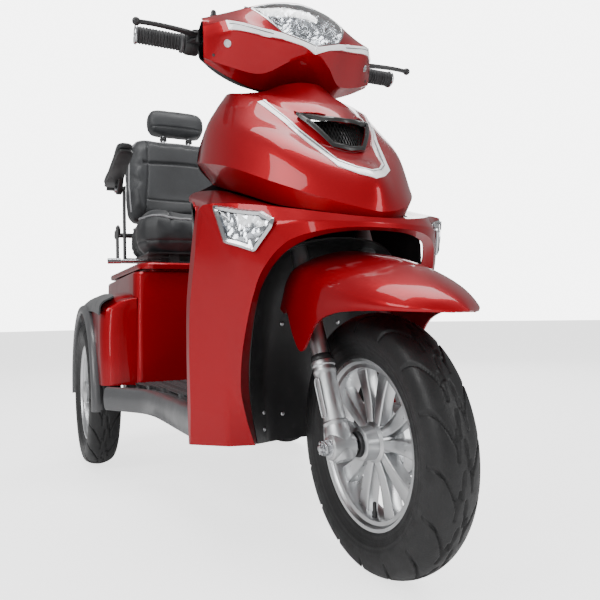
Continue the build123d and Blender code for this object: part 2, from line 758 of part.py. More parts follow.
# ---------------------------------------------------------------- rear bodywork
box_half = 250
guard_outer = 332
arch_radius = 241
shell_front_x, shell_rear_x = -198, -760
pod_side = [(-206, 252), (-212, 472), (-270, 496), (-610, 502), (-725, 450), (-752, 380), (-752, 252)]
pod_inner = [(-209, 200), (-215, 470), (-271, 493), (-609, 499), (-722, 448), (-749, 379), (-749, 200)]
with BuildPart() as rear_shell:
    with BuildSketch(Plane.XY.offset(252)):
        Polygon(
            (shell_front_x, box_half), (shell_rear_x, box_half - 15),
            (shell_rear_x, 15 - box_half), (shell_front_x, -box_half),
            align=None,
        )
    extrude(amount=lid_z - 252)
    fillet(rear_shell.edges().filter_by(Axis.Z), 22)
    for side in (-1, 1):
        with BuildSketch(side_plane(side * (guard_outer + box_half - 8) / 2)):
            Polygon(*pod_side, align=None)
        extrude(amount=(guard_outer - box_half + 8) / 2, both=True)
        with BuildSketch(side_plane(side * (guard_outer - shell_wall + box_half) / 2)):
            Polygon(*pod_inner, align=None)
        extrude(amount=(guard_outer - shell_wall - box_half) / 2, both=True, mode=Mode.SUBTRACT)
        arch_centre = (rear_axle_x, side * guard_outer, tyre_radius)
        with Locations(Plane(origin=arch_centre, x_dir=(1, 0, 0), z_dir=(0, 1, 0))):
            Cylinder(arch_radius, 20, mode=Mode.SUBTRACT)
    with BuildSketch(Plane.XY.offset(200)):
        Polygon(
            (shell_front_x - shell_wall, box_half - shell_wall),
            (shell_rear_x + shell_wall, box_half - 15 - shell_wall),
            (shell_rear_x + shell_wall, 15 + shell_wall - box_half),
            (shell_front_x - shell_wall, shell_wall - box_half),
            align=None,
        )
        fillet(vertices(), 20)
    extrude(amount=lid_z - 200 - shell_wall, mode=Mode.SUBTRACT)
    with Locations(Plane(origin=(rear_axle_x, 0, tyre_radius), x_dir=(1, 0, 0), z_dir=(0, 1, 0))):
        Cylinder(75, 2 * box_half + 10, mode=Mode.SUBTRACT)
    with Locations((seat_x, 0, lid_z)):
        Cylinder(post_radius + 12, 60, mode=Mode.SUBTRACT)
pieces["rear_shell"] = rear_shell

with BuildPart() as fender_trims:
    for side in (-1, 1):
        with BuildSketch(side_plane(side * (guard_outer + 0.2 + 6.4))):
            with Locations((rear_axle_x, tyre_radius)):
                Circle(arch_radius + 12)
                Circle(arch_radius - 4, mode=Mode.SUBTRACT)
            with Locations((rear_axle_x, 100)):
                Rectangle(700, 300, mode=Mode.SUBTRACT)
        extrude(amount=6.4, both=True)
pieces["fender_trims"] = fender_trims

lid_top = lid_z + 17
with BuildPart() as battery_lid:
    with BuildSketch(Plane.XY.offset(lid_z + 0.2)):
        with Locations((-445, 0)):
            RectangleRounded(510, 470, 40)
    extrude(amount=lid_top - lid_z - 0.2)
    fillet(battery_lid.edges().group_by(Axis.Z)[-1], 5)
    with Locations((seat_x, 0, lid_z)):
        Cylinder(post_radius + 4, 60, mode=Mode.SUBTRACT)
pieces["battery_lid"] = battery_lid

with BuildPart() as battery_pack:
    with Locations((-320, 0, 258 + 84)):
        with GridLocations(0, 80, 1, 4):
            Box(150, 77, 167)
pieces["battery_pack"] = battery_pack

with BuildPart() as motor_controller:
    with Locations((-700, 0, 420)):
        Box(60, 160, 90)
pieces["motor_controller"] = motor_controller

with BuildPart() as tail_lamps:
    for side in (-1, 1):
        with BuildSketch(front_plane(shell_rear_x - 0.2)):
            with Locations((side * 150, 455)):
                RectangleRounded(120, 56, 14)
        extrude(amount=-(half_length + shell_rear_x - 0.2))
pieces["tail_lamps"] = tail_lamps

screw_spots = [(y, z) for y in (-40, 40) for z in (215, 420)]
with BuildPart() as panel_screws:
    for y, z in screw_spots:
        with Locations(Plane(origin=(302.7, y, z), z_dir=(1, 0, 0))):
            Cylinder(5, 3)
pieces["panel_screws"] = panel_screws

# ---------------------------------------------------------------- rear suspension and drive
axle_tube_radius = 30
with BuildPart() as swing_arm:
    tube([(pivot_x, -108, rail_z), (pivot_x, 108, rail_z)], 14)
    for side in (-1, 1):
        tube([(pivot_x, side * 92, rail_z), (-480, side * 150, tyre_radius - 4)], 12)
        with Locations((-523, side * 151, tyre_radius)):
            Box(112, 12, 88)
        tube([(shock_x, side * 150, shock_foot), (shock_x, side * 192, shock_foot)], 5)
    with Locations(Plane(origin=(pivot_x, 0, rail_z), x_dir=(1, 0, 0), z_dir=(0, 1, 0))):
        Cylinder(pivot_radius + fit_gap, 260, mode=Mode.SUBTRACT)
    with Locations(Plane(origin=(rear_axle_x, 0, tyre_radius), x_dir=(1, 0, 0), z_dir=(0, 1, 0))):
        Cylinder(axle_tube_radius + 0.02, 400, mode=Mode.SUBTRACT)
pieces["swing_arm"] = swing_arm

with BuildPart() as transaxle:
    with Locations(Plane(origin=(rear_axle_x, 0, tyre_radius), x_dir=(1, 0, 0), z_dir=(0, 1, 0))):
        Cylinder(axle_tube_radius, 440)
        Cylinder(68, 110)
        Cylinder(shaft_radius + fit_gap, 460, mode=Mode.SUBTRACT)
    with Locations(Plane(origin=(-612, 47.5, tyre_radius + 8), x_dir=(1, 0, 0), z_dir=(0, 1, 0))):
        Cylinder(50, 185)
    with Locations((-570, 0, tyre_radius)):
        Box(90, 100, 84)
    with Locations(Plane(origin=(rear_axle_x, 0, tyre_radius), x_dir=(1, 0, 0), z_dir=(0, 1, 0))):
        Cylinder(shaft_radius + fit_gap, 460, mode=Mode.SUBTRACT)
pieces["transaxle"] = transaxle

shock_body_low = 360
shock_eye_radius = 9.2
with BuildPart() as shock_bodies:
    for side in (-1, 1):
        with Locations((shock_x, side * shock_y, (shock_body_low + shock_top) / 2)):
            Cylinder(15, shock_top - shock_body_low)
        with Locations((shock_x, side * shock_y, shock_body_low + 40)):
            Cylinder(10, 90, mode=Mode.SUBTRACT)
        with Locations(Plane(origin=(shock_x, side * shock_y, shock_top), x_dir=(1, 0, 0), z_dir=(0, 1, 0))):
            Cylinder(12, 20)
            Cylinder(5 + fit_gap, 30, mode=Mode.SUBTRACT)
pieces["shock_bodies"] = shock_bodies

with BuildPart() as shock_rods:
    for side in (-1, 1):
        with Locations((shock_x, side * shock_y, (shock_foot + 10 + 385) / 2)):
            Cylinder(5, 385 - shock_foot - 10)
        with Locations(Plane(origin=(shock_x, side * shock_y, shock_foot), x_dir=(1, 0, 0), z_dir=(0, 1, 0))):
            Cylinder(14, 20)
            Cylinder(shock_eye_radius, 30, mode=Mode.SUBTRACT)
pieces["shock_rods"] = shock_rods

spring_low, spring_high, spring_radius, wire_radius = 262, 452, 22, 4
with BuildPart() as rear_springs:
    for side in (-1, 1):
        with BuildLine() as coil:
            Helix(
                pitch=24,
                height=spring_high - spring_low,
                radius=spring_radius,
                center=(shock_x, side * shock_y, spring_low),
            )
        with BuildSketch(Plane(origin=coil.line @ 0, z_dir=coil.line % 0)):
            Circle(wire_radius)
        sweep(path=coil.line, is_frenet=True)
pieces["rear_springs"] = rear_springs

# ---------------------------------------------------------------- seat
swivel_z = lid_top + 7
rail_top = 599
cushion_low, cushion_high = 604, 716
hinge_x, hinge_z = -590, 700
with BuildPart() as seat_post:
    with Locations((seat_x, 0, (470 + lid_top + 1) / 2)):
        Cylinder(post_radius, lid_top + 1 - 470)
    with Locations((seat_x, 0, lid_top + 4)):
        Cylinder(80, 6)
    with Locations((seat_x, 0, lid_top)):
        Cylinder(12 + fit_gap, 60, mode=Mode.SUBTRACT)
pieces["seat_post"] = seat_post

lever_x, lever_y, lever_z = -330, -141, 582
with BuildPart() as swivel_plate:
    with BuildSketch(Plane.XY.offset(swivel_z + 0.2)):
        with Locations((seat_x, 0)):
            RectangleRounded(300, 260, 20)
    extrude(amount=6.8)
    with BuildSketch(Plane.XY.offset(swivel_z + 7)):
        for y in (-115, 115):
            with Locations((seat_x, y)):
                Rectangle(300, 26)
    extrude(amount=10)
    with Locations((seat_x, 0, swivel_z - 12)):
        Cylinder(12, 26)
    for x in (lever_x - 11, lever_x + 11):
        with Locations((x, -139, lever_z - 1)):
            Box(4, 22, 16)
    tube([(lever_x - 12, lever_y, lever_z), (lever_x + 12, lever_y, lever_z)], 4)
pieces["swivel_plate"] = swivel_plate

with BuildPart() as swivel_lever:
    with Locations(Plane(origin=(lever_x, lever_y, lever_z), x_dir=(0, 1, 0), z_dir=(1, 0, 0))):
        Cylinder(7.5, 16)
    tube([(lever_x, lever_y - 5, lever_z), (lever_x, -268, lever_z - 2)], 4)
    tube([(lever_x, -258, lever_z - 2), (lever_x, -292, lever_z - 3)], 8)
    with Locations(Plane(origin=(lever_x, lever_y, lever_z), x_dir=(0, 1, 0), z_dir=(1, 0, 0))):
        Cylinder(4 + fit_gap, 30, mode=Mode.SUBTRACT)
pieces["swivel_lever"] = swivel_lever

post_x, post_y, arm_z = -500, 217, 812
with BuildPart() as seat_base:
    with BuildSketch(Plane.XY.offset(rail_top - 9.6)):
        for y in (-115, 115):
            with Locations((seat_x, y)):
                Rectangle(300, 26)
    extrude(amount=9.6)
    with BuildSketch(Plane.XY.offset(rail_top)):
        with Locations((-445, 0)):
            Rectangle(310, 380)
        with Locations((-545, 0)):
            Rectangle(130, 2 * post_y + 5)
    extrude(amount=4.8)
    for side in (-1, 1):
        with Locations((post_x, side * post_y, (rail_top + arm_z + 10) / 2)):
            Box(30, 5, arm_z + 10 - rail_top)
        with Locations((hinge_x, side * 223.5, (rail_top + hinge_z + 16) / 2)):
            Box(40, 4, hinge_z + 16 - rail_top)
        with Locations((hinge_x, side * 220, rail_top + 2.4)):
            Box(40, 11, 4.8)
        tube([(hinge_x, side * 214, hinge_z), (hinge_x, side * 224, hinge_z)], 6)
        tube([(post_x, side * post_y, arm_z), (post_x, side * 268, arm_z)], 5)
pieces["seat_base"] = seat_base

with BuildPart() as seat_cushion:
    with BuildSketch(Plane.XY.offset(cushion_low)):
        with BuildLine():
            front_edge = ThreePointArc((-250, -205), (-244, 0), (-250, 205))
            left_edge = Polyline(front_edge @ 1, (-340, 238), (-470, 209), (-608, 200))
            right_edge = Polyline(front_edge @ 0, (-340, -238), (-470, -209), (-608, -200))
            Line(left_edge @ 1, right_edge @ 1)
        make_face()
    extrude(amount=cushion_high - cushion_low)
    fillet(seat_cushion.edges().group_by(Axis.Z)[-1], 22)
pieces["seat_cushion"] = seat_cushion

recline_rest = 12
back_up = Vector(-sin(radians(recline_rest)), 0, cos(radians(recline_rest)))
back_ahead = Vector(cos(radians(recline_rest)), 0, sin(radians(recline_rest)))
hinge_point = Vector(hinge_x, 0, hinge_z)


def back_plane(ahead, up=0.0):
    """A plane square to the backrest's fore-and-aft direction: local x runs left and local y up the back."""
    origin = hinge_point + back_ahead * ahead + back_up * up
    return Plane(origin=origin, x_dir=(0, 1, 0), z_dir=back_ahead)


back_thick = 84
back_front = -6
frame_back = back_front - 62
back_foot, back_top = 30, 363
upright_y = 130


def back_point(ahead, up, y):
    """A point in the backrest's own leaning frame, measured from the recline hinge."""
    return tuple(hinge_point + back_ahead * ahead + back_up * up + Vector(0, y, 0))


def back_tubes(clearance=0.0):
    """The backrest's lower cross tube, two uprights and top cross tube."""
    cross, upright = 8 + clearance, 6.5 + clearance
    tube([back_point(frame_back, 10, -219), back_point(frame_back, 10, 219)], cross)
    for side in (-1, 1):
        foot = back_point(frame_back, 12, side * upright_y)
        tube([foot, back_point(frame_back, 288, side * upright_y)], upright)
    tube([back_point(frame_back, 290, -upright_y - 12), back_point(frame_back, 290, upright_y + 12)], cross)


with BuildPart() as backrest_frame:
    for side in (-1, 1):
        plate_centre = hinge_point + Vector(0, side * 218.5, 0)
        with BuildSketch(Plane(origin=plate_centre, x_dir=back_ahead, z_dir=(0, -1, 0))):
            Circle(15)
            Polygon((0, -12), (0, 13), (frame_back, 24), (frame_back - 12, 10), (frame_back, -4), align=None)
            Circle(6 + fit_gap, mode=Mode.SUBTRACT)
        extrude(amount=2.4, both=True)
    back_tubes()
pieces["backrest_frame"] = backrest_frame

headrest_post_y = 45
headrest_post_radius = 5
post_ahead = back_front - 42
post_foot = 280



def headrest_post_plane(up):
    """A plane across the headrest posts, at a height up the back."""
    origin = hinge_point + back_ahead * post_ahead + back_up * up
    return Plane(origin=origin, x_dir=(0, 1, 0), z_dir=back_up)


with BuildPart() as backrest:
    with BuildSketch(back_plane(back_front - back_thick)):
        Polygon(
            *flip([(190, back_foot), (205, 130), (202, 250), (186, 320), (150, 352), (0, back_top)]),
            align=None,
        )
    extrude(amount=back_thick)
    for side in (-1, 1):
        with BuildSketch(headrest_post_plane(post_foot)):
            with Locations((side * headrest_post_y, 0)):
                Circle(headrest_post_radius + 0.3)
        extrude(amount=160, mode=Mode.SUBTRACT)
with BuildPart() as backrest_bore:
    back_tubes(0.5)
with BuildPart() as backrest_core:
    add(backrest.part)
    add(backrest_bore.part, mode=Mode.SUBTRACT)
pieces["backrest"] = backrest_core

headrest_foot, headrest_top = 372, 468
with BuildPart() as headrest:
    with BuildSketch(back_plane(back_front - 76)):
        with Locations((0, (headrest_foot + headrest_top) / 2)):
            RectangleRounded(204, headrest_top - headrest_foot, 40)
    extrude(amount=68)
    for side in (-1, 1):
        with BuildSketch(headrest_post_plane(post_foot + 2)):
            with Locations((side * headrest_post_y, 0)):
                Circle(headrest_post_radius)
        extrude(amount=headrest_foot - post_foot + 20)
pieces["headrest"] = headrest

arm_inner, arm_outer = 222.5, 277.5
pad_middle = (-408, 859)
pad_length, pad_half, pad_tilt = 276, 14, 10.4
for label, side in (("right", -1), ("left", 1)):
    with BuildPart() as armrest:
        with BuildSketch(side_plane(side * (arm_inner + arm_outer) / 2)):
            with Locations(pad_middle):
                SlotCenterToCenter(pad_length, 2 * pad_half, rotation=pad_tilt)
        extrude(amount=(arm_outer - arm_inner) / 2, both=True)
        with BuildSketch(side_plane(side * (arm_inner + 262) / 2)):
            Polygon(
                (post_x - 16, arm_z - 4), (post_x, arm_z - 14), (post_x + 16, arm_z - 6),
                (-400, 846), (post_x - 24, 830),
                align=None,
            )
        extrude(amount=(262 - arm_inner) / 2, both=True)
        with Locations(Plane(origin=(post_x, 0, arm_z), x_dir=(1, 0, 0), z_dir=(0, 1, 0))):
            Cylinder(5 + fit_gap, 540, mode=Mode.SUBTRACT)
    pieces[f"armrest_{label}"] = armrest

for label, piece in pieces.items():
    piece.part.label = label
    export_step(piece.part, f"parts/{label}.step")
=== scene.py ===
"""Looks of a three-wheeled mobility scooter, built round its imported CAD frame.

Metres, +X forward, +Y to the rider's left, +Z up. Outlines are written in millimetres and pass through mm().
"""

import json
from math import atan2, cos, hypot, pi, radians, sin, tau

import bmesh
import bpy
import numpy as np
from mathutils import Matrix, Vector
from mathutils.bvhtree import BVHTree
from mathutils.geometry import delaunay_2d_cdt


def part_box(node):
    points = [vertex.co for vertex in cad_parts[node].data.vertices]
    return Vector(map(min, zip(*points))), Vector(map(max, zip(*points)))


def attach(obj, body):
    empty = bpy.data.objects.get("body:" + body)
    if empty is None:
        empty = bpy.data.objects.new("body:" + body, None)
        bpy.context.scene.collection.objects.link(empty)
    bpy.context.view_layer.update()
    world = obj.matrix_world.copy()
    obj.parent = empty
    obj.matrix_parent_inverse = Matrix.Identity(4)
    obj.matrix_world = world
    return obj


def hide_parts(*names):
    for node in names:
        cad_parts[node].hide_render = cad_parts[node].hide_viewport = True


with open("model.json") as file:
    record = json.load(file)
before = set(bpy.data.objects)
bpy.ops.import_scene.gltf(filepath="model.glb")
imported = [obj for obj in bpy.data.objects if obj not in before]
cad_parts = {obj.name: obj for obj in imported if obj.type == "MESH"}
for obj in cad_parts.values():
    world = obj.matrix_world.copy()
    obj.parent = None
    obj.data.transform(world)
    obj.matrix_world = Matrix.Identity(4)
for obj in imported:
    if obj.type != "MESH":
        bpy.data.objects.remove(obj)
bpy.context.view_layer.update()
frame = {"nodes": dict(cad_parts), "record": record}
nodes = frame["nodes"]
scene = bpy.context.scene


# ---------------------------------------------------------------- places taken from the frame
def middle(node):
    low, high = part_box(node)
    return (low + high) / 2


front_axle = middle("front_tyre")
rear_axles = {side: middle(f"rear_tyre_{side}") for side in ("right", "left")}
tyre_radius = (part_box("front_tyre")[1].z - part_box("front_tyre")[0].z) / 2
tyre_half_width = (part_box("front_tyre")[1].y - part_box("front_tyre")[0].y) / 2
rake = radians(23)
fork_up = Vector((-sin(rake), 0, cos(rake)))
fork_ahead = Vector((cos(rake), 0, sin(rake)))
leg_y = middle("front_axle").y + 0.072
back_lean = radians(12)
hinge_at = Vector((-0.590, 0, 0.700))
back_up = Vector((-sin(back_lean), 0, cos(back_lean)))
back_ahead = Vector((cos(back_lean), 0, sin(back_lean)))


# ---------------------------------------------------------------- mesh helpers
def mm(points):
    """Millimetre points as an array of metres."""
    return np.array(points, float) / 1000


def link(name, mesh, material):
    mesh.materials.clear()
    mesh.materials.append(material)
    piece = bpy.data.objects.new(name, mesh)
    scene.collection.objects.link(piece)
    return piece


def build(name, verts, faces, material):
    """A smooth-shaded mesh object from points and faces."""
    mesh = bpy.data.meshes.new(name)
    mesh.from_pydata([tuple(map(float, v)) for v in verts], [], faces)
    mesh.update()
    mesh.shade_smooth()
    return link(name, mesh, material)


def modify(piece, kind, **settings):
    modifier = piece.modifiers.new(kind.lower(), kind)
    for key, value in settings.items():
        setattr(modifier, key, value)
    return modifier


def settle(piece):
    """Turns a piece's modifiers into plain mesh."""
    evaluated = piece.evaluated_get(bpy.context.evaluated_depsgraph_get())
    mesh = bpy.data.meshes.new_from_object(evaluated)
    piece.modifiers.clear()
    piece.data = mesh
    return piece


def crisp(piece, degrees=32):
    """Smooth shading that breaks only across real corners."""
    piece.data.shade_smooth()
    piece.data.set_sharp_from_angle(angle=radians(degrees))
    return piece


def finish_piece(piece, body, slot, *stands_for):
    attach(piece, body)
    if stands_for:
        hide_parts(*stands_for)
    return piece


def through(points, per, ghost=None):
    """A Catmull-Rom curve through points, with the same number of samples in every span."""
    p = np.array(points, float)
    before = 2 * p[0] - p[1] if ghost is None else ghost
    p = np.vstack([before, p, 2 * p[-1] - p[-2]])
    t = np.linspace(0, 1, per, endpoint=False)[:, None]
    spans = []
    for a, b, c, d in zip(p, p[1:], p[2:], p[3:]):
        spans.append(0.5 * (2 * b + (c - a) * t + (2 * a - 5 * b + 4 * c - d) * t**2 + (3 * b - a - 3 * c + d) * t**3))
    return np.vstack(spans + [p[-2:-1]])


def grid_faces(rows, columns, wrap_rows=False, wrap_columns=False):
    faces = []
    for i in range(rows if wrap_rows else rows - 1):
        for j in range(columns if wrap_columns else columns - 1):
            k, m = (i + 1) % rows, (j + 1) % columns
            faces.append((i * columns + j, i * columns + m, k * columns + m, k * columns + j))
    return faces


def grid_piece(name, grid, material, wrap_rows=False, wrap_columns=False):
    rows, columns = grid.shape[:2]
    return build(name, grid.reshape(-1, 3), grid_faces(rows, columns, wrap_rows, wrap_columns), material)


def face_outward(piece):
    """Makes a closed mesh's faces point outwards."""
    work = bmesh.new()
    work.from_mesh(piece.data)
    bmesh.ops.recalc_face_normals(work, faces=work.faces)
    work.to_mesh(piece.data)
    work.free()
    return piece


def face_outward_sheet(piece, inside):
    """Turns an open sheet's faces away from a point inside it."""
    mesh = piece.data
    score = sum((f.center - inside).normalized().dot(f.normal) * f.area for f in mesh.polygons)
    if score < 0:
        mesh.flip_normals()
    return piece


def panel(name, rows, material, wall, creases=(), per_along=6, per_across=6):
    """A moulded panel, the same left and right: rows are feature lines from its middle outwards, in millimetres.

    It curves smoothly from row to row, and breaks at the rows listed as creases.
    """
    sampled = []
    for row in rows:
        half = np.array(row, float)
        half = through(half, per_along, ghost=half[1] * (1, -1, 1))
        sampled.append(np.vstack([half[:0:-1] * (1, -1, 1), half]))
    stops = [0, *creases, len(rows) - 1]
    bands = []
    for start, end in zip(stops, stops[1:]):
        band = np.array(sampled[start : end + 1])
        flat = through(band.reshape(len(band), -1), per_across)
        bands.append(flat if end == stops[-1] else flat[:-1])
    grid = np.vstack(bands).reshape(-1, len(sampled[0]), 3) / 1000
    piece = grid_piece(name, grid, material)
    face_outward_sheet(piece, Vector(np.mean(grid[:, [0, -1]].reshape(-1, 3), axis=0)) )
    if wall:
        modify(piece, "SOLIDIFY", thickness=wall, offset=-1)
        settle(piece)
    return crisp(piece)


def prism(outline, plane, low, high):
    """A cutter: a millimetre outline pulled along X ("front" view, y and z) or along Y ("side" view, x and z)."""
    count = len(outline)
    if plane == "front":
        ends = [[(d, a, b) for a, b in outline] for d in (low, high)]
    elif plane == "side":
        ends = [[(a, d, b) for a, b in outline] for d in (low, high)]
    else:
        ends = [[(a, b, d) for a, b in outline] for d in (low, high)]
    sides = [(i, (i + 1) % count, count + (i + 1) % count, count + i) for i in range(count)]
    faces = [tuple(range(count))[::-1], tuple(range(count, 2 * count)), *sides]
    return face_outward(build("cutter", mm(ends[0] + ends[1]), faces, materials["black_plastic"]))


def cut(piece, *cutters, operation="DIFFERENCE"):
    for cutter in cutters:
        modify(piece, "BOOLEAN", object=cutter, operation=operation, solver="EXACT")
        settle(piece)
        bpy.data.objects.remove(cutter)
    return crisp(piece)


def mirrored(half):
    """A half outline in the front view, from the middle outwards, completed by its mirror image."""
    return list(half) + [(-y, z) for y, z in reversed(half) if abs(y) > 0.01]


def surface_of(piece):
    return BVHTree.FromObject(piece, bpy.context.evaluated_depsgraph_get())


def patch(name, surface, outline, material, lift=0.0, wall=0.002, spacing=5.0, crown=0.0):
    """A piece laid on a surface as seen from the front: outline is y and z in millimetres."""
    outline = [Vector(p) for p in outline]
    count = len(outline)
    area = sum(a.x * b.y - b.x * a.y for a, b in zip(outline, outline[1:] + outline[:1]))
    if area < 0:
        outline.reverse()
    low = [min(p[k] for p in outline) for k in (0, 1)]
    high = [max(p[k] for p in outline) for k in (0, 1)]
    inner = [
        Vector((y, z))
        for y in np.arange(low[0] + spacing / 2, high[0], spacing)
        for z in np.arange(low[1] + spacing / 2, high[1], spacing)
    ]
    edges = [(i, (i + 1) % count) for i in range(count)]
    flat, _, triangles, *_ = delaunay_2d_cdt(outline + inner, edges, [list(range(count))], 1, 0.01)
    verts = []
    for point in flat:
        place, normal, _, _ = surface.ray_cast(Vector((1.2, point.x / 1000, point.y / 1000)), Vector((-1, 0, 0)))
        if place is None:
            place, normal, _, _ = surface.find_nearest(Vector((0.4, point.x / 1000, point.y / 1000)))
        if normal.x < 0:
            normal = -normal
        swell = crown * min(1.0, edge_distance(point, outline) / 12)
        verts.append(place + normal * (lift + swell))
    piece = build(name, verts, [tuple(t) for t in triangles], material)
    modify(piece, "SOLIDIFY", thickness=wall, offset=-1)
    settle(piece)
    return crisp(piece)


def edge_distance(point, outline):
    best = 1e9
    for a, b in zip(outline, outline[1:] + outline[:1]):
        along = b - a
        t = max(0.0, min(1.0, (point - a).dot(along) / max(along.length_squared, 1e-9)))
        best = min(best, (point - a - along * t).length)
    return best


def axis_frame(direction):
    """Two unit vectors square to a direction and to each other."""
    direction = Vector(direction).normalized()
    helper = Vector((0, 0, 1)) if abs(direction.z) < 0.9 else Vector((1, 0, 0))
    across = direction.cross(helper).normalized()
    return across, direction.cross(across).normalized()


def lathe(name, profile, centre, direction, material, around=64, closed=False):
    """Turns a profile of (radius, distance along the axis), in millimetres, about an axis through centre."""
    a, b = axis_frame(direction)
    direction = Vector(direction).normalized()
    grid = np.zeros((len(profile), around, 3))
    for i, (radius, along) in enumerate(profile):
        for j in range(around):
            angle = tau * j / around
            place = Vector(centre) + direction * along / 1000 + (a * cos(angle) + b * sin(angle)) * radius / 1000
            grid[i, j] = place
    piece = grid_piece(name, grid, material, wrap_rows=closed, wrap_columns=True)
    if not closed:
        cap_ends(piece)
    return crisp(face_outward(piece))


def cap_ends(piece):
    work = bmesh.new()
    work.from_mesh(piece.data)
    bmesh.ops.holes_fill(work, edges=[e for e in work.edges if e.is_boundary], sides=0)
    work.to_mesh(piece.data)
    work.free()


def pipe(name, points, radius, material, around=16, per=8, radii=None):
    """A round bar swept along a smooth curve through points in metres, with capped ends."""
    path = through(points, per)
    sizes = np.full(len(path), radius) if radii is None else np.interp(
        np.linspace(0, 1, len(path)), np.linspace(0, 1, len(radii)), radii
    )
    grid = np.zeros((len(path), around, 3))
    side = None
    for i, place in enumerate(path):
        ahead = Vector(path[min(i + 1, len(path) - 1)] - path[max(i - 1, 0)]).normalized()
        side = axis_frame(ahead)[0] if side is None else (side - ahead * side.dot(ahead)).normalized()
        other = ahead.cross(side)
        for j in range(around):
            angle = tau * j / around
            grid[i, j] = Vector(place) + (side * cos(angle) + other * sin(angle)) * sizes[i]
    piece = grid_piece(name, grid, material, wrap_columns=True)
    cap_ends(piece)
    return crisp(face_outward(piece))


def join(name, pieces):
    """Several pieces as one object; the first gives the material."""
    work = bmesh.new()
    for piece in pieces:
        work.from_mesh(piece.data)
    mesh = bpy.data.meshes.new(name)
    work.to_mesh(mesh)
    work.free()
    material = pieces[0].data.materials[0]
    for piece in pieces:
        bpy.data.objects.remove(piece)
    return crisp(link(name, mesh, material))


# ---------------------------------------------------------------- materials
class Shader:
    """A node tree being wired up: each call adds one node and returns its output."""

    def __init__(self, name):
        self.material = bpy.data.materials.new(name)
        self.material.use_nodes = True
        self.tree = self.material.node_tree
        self.surface = self.tree.nodes["Principled BSDF"]
        self.place = self.tree.nodes.new("ShaderNodeTexCoord").outputs["Object"]

    def add(self, kind, inputs=None, **settings):
        node = self.tree.nodes.new(kind)
        for key, value in settings.items():
            setattr(node, key, value)
        for key, value in (inputs or {}).items():
            self.feed(node.inputs[key], value)
        return node

    def feed(self, socket, value):
        if isinstance(value, bpy.types.NodeSocket):
            self.tree.links.new(value, socket)
        else:
            socket.default_value = value

    def set(self, **inputs):
        for key, value in inputs.items():
            self.feed(self.surface.inputs[key.replace("_", " ")], value)

    def noise(self, scale, detail=4.0, rough=0.5, stretch=None):
        place = self.place
        if stretch:
            place = self.add("ShaderNodeMapping", {"Vector": place, "Scale": stretch}).outputs[0]
        inputs = {"Vector": place, "Scale": scale, "Detail": detail, "Roughness": rough}
        return self.add("ShaderNodeTexNoise", inputs).outputs["Fac"]

    def cells(self, scale, feature="F1", output="Distance"):
        return self.add("ShaderNodeTexVoronoi", {"Vector": self.place, "Scale": scale}, feature=feature).outputs[output]

    def wave(self, scale, direction, distortion=0.0):
        inputs = {"Vector": self.place, "Scale": scale, "Distortion": distortion}
        return self.add("ShaderNodeTexWave", inputs, bands_direction=direction).outputs["Fac"]

    def spread(self, value, low, high, out_low=0.0, out_high=1.0):
        inputs = {"Value": value, "From Min": low, "From Max": high, "To Min": out_low, "To Max": out_high}
        return self.add("ShaderNodeMapRange", inputs).outputs["Result"]

    def mix(self, fac, first, second):
        node = self.add("ShaderNodeMix", data_type="RGBA")
        self.feed(node.inputs[0], fac)
        self.feed(node.inputs[6], (*first, 1) if isinstance(first, tuple) else first)
        self.feed(node.inputs[7], (*second, 1) if isinstance(second, tuple) else second)
        return node.outputs[2]

    def bump(self, height, strength, distance=0.001, under=None):
        inputs = {"Height": height, "Strength": strength, "Distance": distance}
        if under is not None:
            inputs["Normal"] = under
        return self.add("ShaderNodeBump", inputs).outputs["Normal"]

    def edges(self, low=0.5, high=0.6):
        """1 along worn outer edges, 0 elsewhere."""
        return self.spread(self.add("ShaderNodeNewGeometry").outputs["Pointiness"], low, high)


def red_paint():
    """Metallic red under clear lacquer: darker where the surface turns away, with a faint flake and orange peel."""
    s = Shader("red_paint")
    facing = s.add("ShaderNodeLayerWeight", {"Blend": 0.45}).outputs["Facing"]
    tone = s.mix(facing, (0.34, 0.0, 0.006), (0.18, 0.0, 0.004))
    s.set(Base_Color=s.mix(s.spread(s.noise(900.0), 0.5, 0.8, 0.0, 0.35), tone, (0.44, 0.001, 0.008)))
    s.set(Metallic=0.4, Roughness=s.spread(s.noise(14.0), 0.3, 0.7, 0.30, 0.36))
    s.set(Specular_IOR_Level=0.1, Coat_Weight=0.6, Coat_Roughness=0.025, Coat_IOR=1.4)
    s.set(Coat_Normal=s.bump(s.noise(240.0, 1.0), 0.015, 0.0003))
    return s.material


def moulded(name, dark, light, rough, grain=900.0, coat=0.0, metallic=0.0):
    """Moulded plastic with a fine grain and faint handling marks."""
    s = Shader(name)
    base = s.mix(s.noise(9.0), dark, light)
    s.set(Base_Color=s.mix(s.spread(s.noise(120.0), 0.62, 0.8, 0.0, 0.5), base, tuple(min(1.0, c * 1.6 + 0.01) for c in light)))
    s.set(Roughness=s.spread(s.noise(30.0), 0.3, 0.7, rough - 0.06, rough + 0.08), Metallic=metallic)
    s.set(Coat_Weight=coat, Coat_Roughness=0.12)
    s.set(Normal=s.bump(s.noise(grain, 2.0), 0.18, 0.0004))
    return s.material


def metal(name, color, rough, brushed=None, cast=0.0):
    """Bare or plated metal: brushed lines, casting grain and a duller tone in places."""
    s = Shader(name)
    shade = tuple(c * 0.8 for c in color)
    s.set(Base_Color=s.mix(s.noise(14.0), shade, color), Metallic=1.0)
    s.set(Roughness=s.spread(s.noise(55.0, 6.0), 0.3, 0.7, rough * 0.8, rough * 1.25))
    lines = s.noise(420.0, 3.0, stretch=brushed) if brushed else s.noise(800.0, 3.0)
    s.set(Normal=s.bump(lines, 0.10 + cast, 0.0003))
    return s.material


